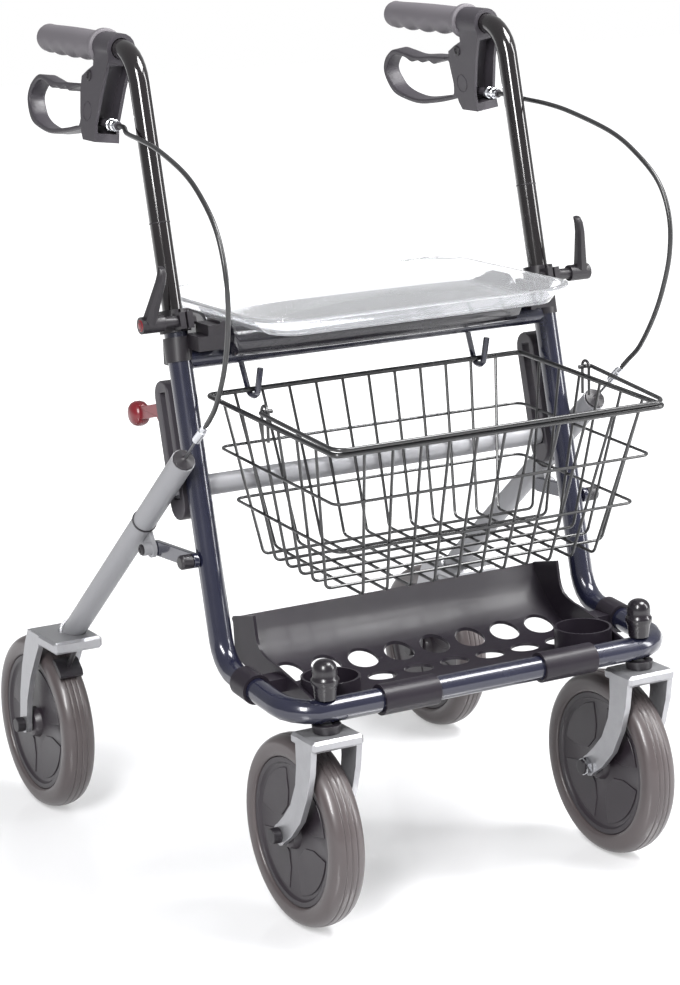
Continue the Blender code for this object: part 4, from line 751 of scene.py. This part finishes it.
def make_seat():
    """The moulded board: rolled front edge, raised ends, smooth all round."""
    notch_front = SEAT_TUBE.y - 0.0010
    front, back = SEAT_TUBE.y - SEAT_AHEAD, SEAT_TUBE.y + SEAT_BEHIND
    stations = []
    for x in (0.0, 0.060, 0.120, 0.155, 0.170, SEAT_NOTCH_X - 0.001):
        bow = (x / SEAT_NOTCH_X) ** 4
        stations.append((x, front + SEAT_BOW[0] * bow, back - SEAT_BOW[1] * bow, 1.0))
    for x, size in ((SEAT_NOTCH_X, 1.0), (0.1830, 0.97), (0.1880, 0.86), (SEAT_HALF, 0.62)):
        stations.append((x, notch_front + (1 - size) * 0.02, back - 0.014 - (1 - size) * 0.03, size))
    everything = [(-x, f, b, s) for x, f, b, s in reversed(stations[1:])] + stations
    loops = []
    for x, y0, y1, size in everything:
        rise = SEAT_HORN * max(0.0, min(1.0, (abs(x) - SEAT_HORN_X) / SEAT_HORN_RUN))
        top = SEAT_Z + rise - (1 - size) * 0.010
        bottom = SEAT_Z - SEAT_THICK + (1 - size) * 0.012
        lip = SEAT_LIP if abs(x) < SEAT_NOTCH_X - 0.0050 else 0.0
        loops.append(seat_ring(x, y0, y1, bottom, top, lip))
    seat = mesh_piece("seat_board", loops, "seat_vinyl")
    soften(seat, 0.0012, 3, 40.0, False)
    place(seat, "front_frame", "seat")


def rounded_rect(half, y0, y1, radius, z, steps):
    """A level rectangle of points with round corners."""
    points = []
    for cx, cy, start in ((half - radius, y1 - radius, 0), (-half + radius, y1 - radius, 90),
                          (-half + radius, y0 + radius, 180), (half - radius, y0 + radius, 270)):
        for i in range(steps + 1):
            a = math.radians(start + 90 * i / steps)
            points.append(Vector((cx + radius * math.cos(a), cy + radius * math.sin(a), z)))
    return points


def make_tray():
    """The clear tray: sloping walls, a rolled flange and a soft corner at the floor."""
    y0, y1 = SEAT_TUBE.y - TRAY_AHEAD, SEAT_TUBE.y + TRAY_BEHIND
    low = SEAT_Z + GAP
    top = low + TRAY_HEIGHT
    w, t = TRAY_WALL, TRAY_TAPER
    middle, waist, lip = low + TRAY_HEIGHT * 0.5, t * 0.5 + 0.002, 0.0052
    # Inset from the rim and height: up the outside, over the rim and down the inside
    rows = [(t + 0.006, low), (t + 0.002, low + 0.0006), (t - 0.001, low + 0.0030), (waist, middle),
            (lip, top - w - 0.0012), (0.0040, top - w), (0.0004, top - w), (0.0, top - w * 0.7),
            (0.0, top - w * 0.3), (0.0004, top), (lip + w * 0.3, top), (lip + w, top - 0.0012),
            (waist + w, middle), (t + w * 0.6, low + 0.0030 + w * 0.4),
            (t + 0.003 + w * 0.6, low + w + 0.0003), (t + 0.007 + w * 0.6, low + w)]
    loops = []
    for inset, z in rows:
        along = inset * TRAY_END_SLOPE
        corner = max(TRAY_FLOOR_CORNER, TRAY_CORNER - along * (inset / t))
        loops.append(rounded_rect(TRAY_HALF - inset, y0 + along, y1 - along, corner, z, 14))
    tray = mesh_piece("tray_moulding", loops, "clear_plastic", sharp=60.0)
    place(tray, "tray", "tray")


# Handles and brakes

def handle_corner(sign):
    return upright_point(sign * UPRIGHT_X, UPRIGHT_LENGTH + HANDLE_RISE)


def grip_direction(sign):
    return Vector((-sign * math.tan(GRIP_TOE), math.cos(GRIP_SLOPE), math.sin(GRIP_SLOPE))).normalized()


def housing_centre(sign):
    return handle_corner(sign) + grip_direction(sign) * (GRIP_START - GAP - HOUSING_LENGTH / 2)


def housing_roll(sign):
    """The axes of a brake housing, which is rolled a little about its grip."""
    along = grip_direction(sign)
    across = (Vector((1, 0, 0)) - along * along.x).normalized()
    axes = Matrix((across, along, across.cross(along))).transposed()
    return Matrix.Rotation(-sign * HOUSING_ROLL, 3, along) @ axes


def housing_point(sign, across, behind, above):
    return housing_centre(sign) + housing_roll(sign) @ Vector((across, behind, above))


def make_grip(side, sign):
    """A rubber grip with finger waves underneath, a flange in front and a domed end."""
    along = grip_direction(sign)
    start = handle_corner(sign) + along * GRIP_START
    up = Vector((0, -along.z, along.y))
    across = Vector((1, 0, 0))
    sections = [(0.0, 0.0175), (0.0010, GRIP_FLANGE_R), (0.0058, GRIP_FLANGE_R), (0.0070, 0.0180),
                (0.0080, 0.0152), (0.0095, 0.0146)]
    steps = 60
    first, last = 0.0110, GRIP_LENGTH - 0.0120
    for i in range(steps + 1):
        sections.append((first + (last - first) * i / steps, None))
    end = [(GRIP_LENGTH - 0.0080, 0.0150), (GRIP_LENGTH - 0.0045, 0.0140), (GRIP_LENGTH - 0.0020, 0.0120),
           (GRIP_LENGTH - 0.0005, 0.0085), (GRIP_LENGTH, 0.0040)]
    loops = []
    for distance, radius in sections + end:
        ring = []
        t = (distance - first) / (last - first)
        for k in range(40):
            a = 2.0 * math.pi * k / 40
            r = radius
            if r is None:
                under = max(0.0, -math.cos(a)) ** 0.7
                swell = GRIP_R - 0.0008 + 0.0007 * math.sin(math.pi * min(1.0, t * 1.1))
                wave = math.cos(2.0 * math.pi * FINGERS * t) * (1.0 if 0.03 < t < 0.97 else 0.3)
                r = swell + FINGER_DEPTH * under * wave
            ring.append(start + along * distance + (up * math.cos(a) + across * math.sin(a)) * r)
        loops.append(ring)
    grip = mesh_piece("grip_rubber_" + side, loops, "grip_rubber", sharp=60.0)
    place(grip, "handle_" + side, "grip_" + side)


def make_housing_details(side, sign):
    """Pivot screws, moulded rings and the bright cable adjuster of a brake housing."""
    body = "handle_" + side
    turn = housing_roll(sign)
    for face, way in FACES:
        axis = turn @ Vector((way, 0, 0))
        pivot = housing_point(sign, way * (HOUSING_HALF - 0.0006), *LEVER_PIVOT)
        screw = turned("pivot_screw_%s_%s" % (side, face),
                       [(0.0001, 0.0), (0.0058, 0.0), (0.0058, 0.0014), (0.0050, 0.0022), (0.0034, 0.0024),
                        (0.0030, 0.0012), (0.0001, 0.0012)], pivot, axis, "black_plastic", 28)
        place(screw, body)
        mark = housing_point(sign, way * (HOUSING_HALF - 0.0002), *HOUSING_MARK)
        ring = turned("housing_mark_%s_%s" % (side, face),
                      [(0.0092, 0.0), (0.0102, 0.0), (0.0100, 0.0007), (0.0094, 0.0007)], mark, axis,
                      "grey_plastic", 40, True)
        place(ring, body)
    axis = turn @ Vector((0, -1, 0))
    start = housing_point(sign, 0.0, CABLE_BOSS[0] + ADJUSTER_IN, CABLE_BOSS[1])
    fitting = turned("cable_adjuster_" + side,
                     [(0.0046, 0.0), (0.0064, 0.0), (0.0064, 0.0035), (0.0052, 0.0042), (0.0052, 0.0062),
                      (0.0060, 0.0068), (0.0060, 0.0125), (0.0050, 0.0133), (0.0050, 0.0195),
                      (0.0046, 0.0200)], start, axis, "bright_metal", 24, True)
    place(fitting, body)


def make_brake_lever(side, sign):
    """The closed loop lever with finger waves under its upper bar."""
    outer = [(-0.0040, 0.0060), (0.0080, 0.0060), (0.0220, -0.0085), (0.0700, -0.0120), (0.1000, -0.0140),
             (0.1250, -0.0110), (0.1460, -0.0090), (0.1600, -0.0150), (0.1700, -0.0240), (0.1740, -0.0360),
             (0.1680, -0.0500), (0.1560, -0.0610), (0.1350, -0.0665), (0.1040, -0.0695), (0.0700, -0.0660),
             (0.0400, -0.0610), (0.0100, -0.0540), (0.0030, -0.0480), (-0.0020, -0.0350), (-0.0040, -0.0200)]
    inner = [(0.0270, -0.0170), (0.0500, -0.0170), (0.0620, -0.0205), (0.0740, -0.0170), (0.0860, -0.0205),
             (0.0980, -0.0185), (0.1100, -0.0210), (0.1240, -0.0165), (0.1440, -0.0150), (0.1580, -0.0220),
             (0.1680, -0.0350), (0.1600, -0.0480), (0.1500, -0.0555), (0.1320, -0.0610), (0.1040, -0.0640),
             (0.0700, -0.0605), (0.0400, -0.0555), (0.0260, -0.0500)]
    behind, above = LEVER_PIVOT
    lever = None
    for outline, half in ((outer, LEVER_HALF), (inner, 0.03)):
        flat = [(y + behind, z + above) for y, z in closed_curve(outline, 5)]
        part = slab("brake_lever_smooth_" + side, flat, -half, half, "grey_plastic")
        lever = boolean(lever, part, "DIFFERENCE") if lever else part
    lever.data.transform(Matrix.Translation(housing_centre(sign)) @ housing_roll(sign).to_4x4())
    dress(lever, "grey_plastic", sharp=40.0)
    soften(lever, 0.0022, 4, 40.0)
    place(lever, "brake_lever_" + side, "brake_lever_" + side)


def closed_curve(points, steps):
    """A smooth closed outline through 2-D points."""
    count = len(points)
    out = []
    for i in range(count):
        four = [Vector(points[(i + k) % count]) for k in (-1, 0, 1, 2)]
        out += [tuple(curve_point(*four, k / steps)) for k in range(steps)]
    return out


# Cables

# Half width, distance behind the front bar and height of points along the cable
ROUTE = ((0.241, 0.2845, 0.7890), (0.245, 0.2455, 0.7860), (0.247, 0.2025, 0.7800),
         (0.252, 0.1365, 0.7640), (0.255, 0.0955, 0.7450), (0.258, 0.0600, 0.7180),
         (0.259, 0.0425, 0.6840), (0.258, 0.0400, 0.6460), (0.256, 0.0490, 0.6080),
         (0.254, 0.0640, 0.5740), (0.252, 0.0860, 0.5410))
ROUTE_STEPS = 8
CUTS = (8, 11)          # the points at which one stretch of casing meets the next


def smooth_route(points, steps):
    """Points of a smooth curve through the route's own points."""
    path = []
    last = len(points) - 1
    for i in range(last):
        four = points[max(i - 1, 0)], points[i], points[i + 1], points[min(i + 2, last)]
        path += [curve_point(*four, k / steps) for k in range(steps)]
    path.append(points[-1])
    return path


def make_cables():
    """Each casing in three stretches, which meet at the route's points in CUTS."""
    for side, sign in SIDES:
        leg_top = at_x(CROSS_CENTRE, sign * LEG_X) - LEG_DOWN * LEG_ABOVE
        first = housing_point(sign, 0.0, CABLE_BOSS[0] - GAP, CABLE_BOSS[1])
        second = housing_point(sign, 0.0, CABLE_BOSS[0] - CABLE_STRAIGHT, CABLE_BOSS[1])
        last = leg_top - LEG_DOWN * (STOP_END + GAP)
        route = [first, second]
        route += [Vector((sign * x, STEM_Y + behind, z)) for x, behind, z in ROUTE]
        route += [last - LEG_DOWN * CABLE_STRAIGHT, last]
        path = smooth_route(route, ROUTE_STEPS)
        loops = tube_loops(path, CABLE_R, 14)
        cuts = [0, *(cut * ROUTE_STEPS for cut in CUTS), len(path) - 1]
        hops = (("handle_" + side, "front_frame"), ("front_frame", "slide_blocks"),
                ("slide_blocks", "rear_frame"))
        for i, (a, b) in enumerate(hops):
            stretch = mesh_piece("cable_%s_%d" % (side, i), loops[cuts[i]:cuts[i + 1] + 1],
                                 "black_plastic", caps=False, look=CASING)
            if i == 0:
                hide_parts("brake_cable_" + side)
            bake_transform(stretch)


# Small trim

def make_stem_knobs():
    """The domed knobs over the front bar's stems."""
    for side, sign in SIDES:
        base = TUBE_R + GAP
        profile = [(0.0106, base), (0.0112, base + 0.0040), (0.0119, base + 0.0115), (0.0128, base + 0.0142),
                   (0.0140, base + 0.0164), (0.0142, base + 0.0188), (0.0140, base + 0.0208),
                   (0.0129, base + 0.0222), (0.0122, base + 0.0236), (0.0125, base + 0.0280),
                   (0.0121, base + 0.0320), (0.0109, base + 0.0352), (0.0088, base + 0.0378),
                   (0.0060, base + 0.0394), (0.0030, base + 0.0401), (0.0002, base + 0.0402)]
        knob = turned("stem_dome_" + side, profile, (sign * STEM_X, STEM_Y, BAR_Z), (0, 0, 1),
                      "black_plastic", 40, look=KNOB)
        place(knob, "front_frame", "stem_knob_" + side)


def make_lever_cap():
    """The red cap on the right clamp lever's hub."""
    profile = [(0.0001, 0.0), (0.0062, 0.0), (0.0062, 0.0008), (0.0048, 0.0018), (0.0001, 0.0022)]
    cap = turned("clamp_cap", profile, upright_point(-CLAMP_CAP_X, CLAMP_UP, -CLAMP_AHEAD), (-1, 0, 0),
                 "red_plastic", 28)
    place(cap, "clamp_lever_right")


def make_latch_pad():
    """The domed red pad that the latch's paddle carries on both faces."""
    low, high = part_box("fold_latch")
    centre = Vector(((low[0] + high[0]) / 2, high[1] - LATCH_PAD_R, 0.0))
    tip = [vert.co.z for vert in NODES["fold_latch"].data.vertices if vert.co.y > high[1] - LATCH_TIP]
    centre.z = (min(tip) + max(tip)) / 2
    profile = [(0.0002, -0.0105), (0.0050, -0.0102), (0.0095, -0.0088), (0.0122, -0.0062), (0.0132, -0.0030),
               (0.0132, 0.0030), (0.0122, 0.0062), (0.0095, 0.0088), (0.0050, 0.0102), (0.0002, 0.0105)]
    place(turned("latch_pad", profile, centre, (1, 0, 0), "red_plastic", 40), "latch")


def make_trim():
    """Link screws, leg bands, seam rings on the handle tubes and nuts on the front axles."""
    under = Vector((0.0, LEG_DOWN.z, -LEG_DOWN.y))
    rivet = CROSS_CENTRE + LEG_DOWN * LINK_ALONG + under * LINK_UNDER
    for side, sign in SIDES:
        head = [(0.0001, 0.0), (0.0058, 0.0), (0.0058, 0.0016), (0.0046, 0.0026), (0.0030, 0.0028),
                (0.0026, 0.0016), (0.0001, 0.0016)]
        screw = turned("link_screw_" + side, head, at_x(rivet, sign * LINK_HEAD_X), (sign, 0, 0),
                       "black_plastic", 28)
        place(screw, "rear_frame")
        band = turned("leg_band_" + side, [(LEG_R, -0.0011), (LEG_R + 0.0009, -0.0009),
                                           (LEG_R + 0.0009, 0.0009), (LEG_R, 0.0011)],
                      at_x(CROSS_CENTRE, sign * LEG_X) + LEG_DOWN * LEG_BAND_ALONG, LEG_DOWN,
                      "black_plastic", 40, True)
        place(band, "rear_frame")
        seam = turned("handle_seam_" + side, [(0.0107, -0.0007), (0.0110, -0.0004), (0.0110, 0.0004),
                                              (0.0107, 0.0007)],
                      upright_point(sign * UPRIGHT_X, HANDLE_SEAM_UP), UP, "black_plastic", 40, True)
        place(seam, "handle_" + side)
        six_sided = [(0.0088, 0.0), (0.0100, 0.0005), (0.0100, 0.0060), (0.0088, 0.0066)]
        nut = turned("axle_nut_" + side, six_sided,
                     (sign * (STEM_X - AXLE_NUT_OUT), STEM_Y + TRAIL, WHEEL_R), (-sign, 0, 0),
                     "bright_metal", 6, True, look=NUT)
        place(nut, "caster_" + side)


# Studio

FLOOR_SIZE = 9.0
FLOOR_DROP = 0.0004
FLOOR_GLOSS = 0.12
FLOOR_FADE = {"From Min": 0.45, "From Max": 2.2, "To Min": 0.38, "To Max": 1.0}
WHITE = (1.0, 1.0, 1.0, 1.0)
WORLD_LIGHT = 0.24
GLOSSY_SHARE = 0.26
LAMPS = (               # name, place, aim, size and watts
    ("key", (-2.2, -2.4, 2.6), (0, 0, 0.4), (0.8, 2.0), 175.0),
    ("fill", (2.6, -1.8, 1.6), (0, 0, 0.45), (0.7, 2.2), 66.0),
    ("top", (1.1, -0.9, 2.7), (0, 0, 0.4), (1.3, 1.1), 105.0),
)
CAMERA_ANGLES = (-29.095, 13.447, -1.755)       # azimuth, elevation and roll in degrees
CAMERA_PLACE = (-1.4468, -2.5987, 1.0883)
FOCAL_PIXELS = 2793.16
PICTURE_PIXELS = 985.0
SENSOR = 36.0


def make_stage():
    """A pale floor with a weak mirror image, fading into white away from the walker."""
    mesh = bpy.data.meshes.new("floor")
    corners = [(x * FLOOR_SIZE, y * FLOOR_SIZE, 0) for x, y in ((-1, -1), (1, -1), (1, 1), (-1, 1))]
    mesh.from_pydata(corners, [], [(0, 1, 2, 3)])
    floor = bpy.data.objects.new("floor", mesh)
    floor.location.z = -FLOOR_DROP
    bpy.context.scene.collection.objects.link(floor)
    made = bpy.data.materials.new("floor_look")
    made.use_nodes = True
    tree = made.node_tree
    tree.nodes.clear()
    soft = add_node(tree, "ShaderNodeBsdfDiffuse", {"Color": (0.62, 0.62, 0.63, 1.0)})
    sheen = add_node(tree, "ShaderNodeBsdfGlossy", {"Roughness": 0.09, "Color": WHITE})
    both = mixed(tree, FLOOR_GLOSS, soft, sheen)
    coords = add_node(tree, "ShaderNodeTexCoord", {})
    reach = add_node(tree, "ShaderNodeVectorMath", {0: coords.outputs["Object"]}, "LENGTH")
    fade = add_node(tree, "ShaderNodeMapRange", {**FLOOR_FADE, "Value": reach.outputs["Value"]})
    fade.interpolation_type = "SMOOTHSTEP"
    glow = add_node(tree, "ShaderNodeEmission", {"Color": WHITE, "Strength": fade.outputs["Result"]})
    added = add_node(tree, "ShaderNodeAddShader", {0: both.outputs[0], 1: glow.outputs[0]})
    rays = add_node(tree, "ShaderNodeLightPath", {})
    seen = add_node(tree, "ShaderNodeMath", {
        0: rays.outputs["Is Camera Ray"], 1: rays.outputs["Is Glossy Ray"]}, "MAXIMUM")
    choose = mixed(tree, seen.outputs[0], both, added)
    add_node(tree, "ShaderNodeOutputMaterial", {"Surface": choose.outputs[0]})
    mesh.materials.append(made)


def mixed(tree, share, first, second):
    """Two shaders mixed by the second one's share."""
    return add_node(tree, "ShaderNodeMixShader", {
        "Fac": share, 1: first.outputs[0], 2: second.outputs[0]})


def make_world():
    """A white surround that lights the walker weakly and shows up dimmed in its gloss."""
    world = bpy.data.worlds.new("studio")
    bpy.context.scene.world = world
    world.use_nodes = True
    tree = world.node_tree
    tree.nodes.clear()
    light = add_node(tree, "ShaderNodeBackground", {"Color": (0.95, 0.97, 1.0, 1.0), "Strength": WORLD_LIGHT})
    seen = add_node(tree, "ShaderNodeBackground", {"Color": WHITE, "Strength": 1.0})
    rays = add_node(tree, "ShaderNodeLightPath", {})
    direct = add_node(tree, "ShaderNodeMath", {
        0: rays.outputs["Is Camera Ray"], 1: rays.outputs["Is Transmission Ray"]}, "MAXIMUM")
    glossy = add_node(tree, "ShaderNodeMath", {0: rays.outputs["Is Glossy Ray"], 1: GLOSSY_SHARE}, "MULTIPLY")
    share = add_node(tree, "ShaderNodeMath", {0: direct.outputs[0], 1: glossy.outputs[0]}, "MAXIMUM")
    mix = mixed(tree, share.outputs[0], light, seen)
    add_node(tree, "ShaderNodeOutputWorld", {"Surface": mix.outputs[0]})


def make_light(name, location, target, size, power):
    data = bpy.data.lights.new(name, "AREA")
    data.shape = "RECTANGLE"
    data.size, data.size_y = size
    data.energy = power
    lamp = bpy.data.objects.new(name, data)
    bpy.context.scene.collection.objects.link(lamp)
    lamp.location = location
    lamp.rotation_mode = "QUATERNION"
    lamp.rotation_quaternion = (Vector(target) - Vector(location)).to_track_quat("-Z", "Y")


def make_camera():
    """The photograph's own view."""
    azimuth, elevation, roll = (math.radians(angle) for angle in CAMERA_ANGLES)
    back = Vector((math.sin(azimuth) * math.cos(elevation), -math.cos(azimuth) * math.cos(elevation),
                   math.sin(elevation)))
    right = Vector((math.cos(azimuth), math.sin(azimuth), 0.0))
    up = back.cross(right)
    across = right * math.cos(roll) + up * math.sin(roll)
    above = up * math.cos(roll) - right * math.sin(roll)
    data = bpy.data.cameras.new("camera")
    data.sensor_width = SENSOR
    data.lens = FOCAL_PIXELS * SENSOR / PICTURE_PIXELS
    data.clip_start, data.clip_end = 0.1, 60.0
    camera = bpy.data.objects.new("camera", data)
    bpy.context.scene.collection.objects.link(camera)
    camera.matrix_world = Matrix.Translation(CAMERA_PLACE) @ Matrix(
        (across, above, back)).transposed().to_4x4()
    bpy.context.scene.camera = camera


def main():
    make_camera()
    make_cables()
    dress_nodes()
    make_wheels()
    make_basket()
    make_bail()
    make_shelf()
    make_seat()
    make_tray()
    for side, sign in SIDES:
        make_grip(side, sign)
        make_housing_details(side, sign)
        make_brake_lever(side, sign)
    split_cable_stops()
    make_trim()
    make_stem_knobs()
    make_lever_cap()
    make_latch_pad()
    make_stage()
    make_world()
    for lamp in LAMPS:
        make_light(*lamp)
    bpy.context.scene.view_settings.view_transform = "Standard"


main()
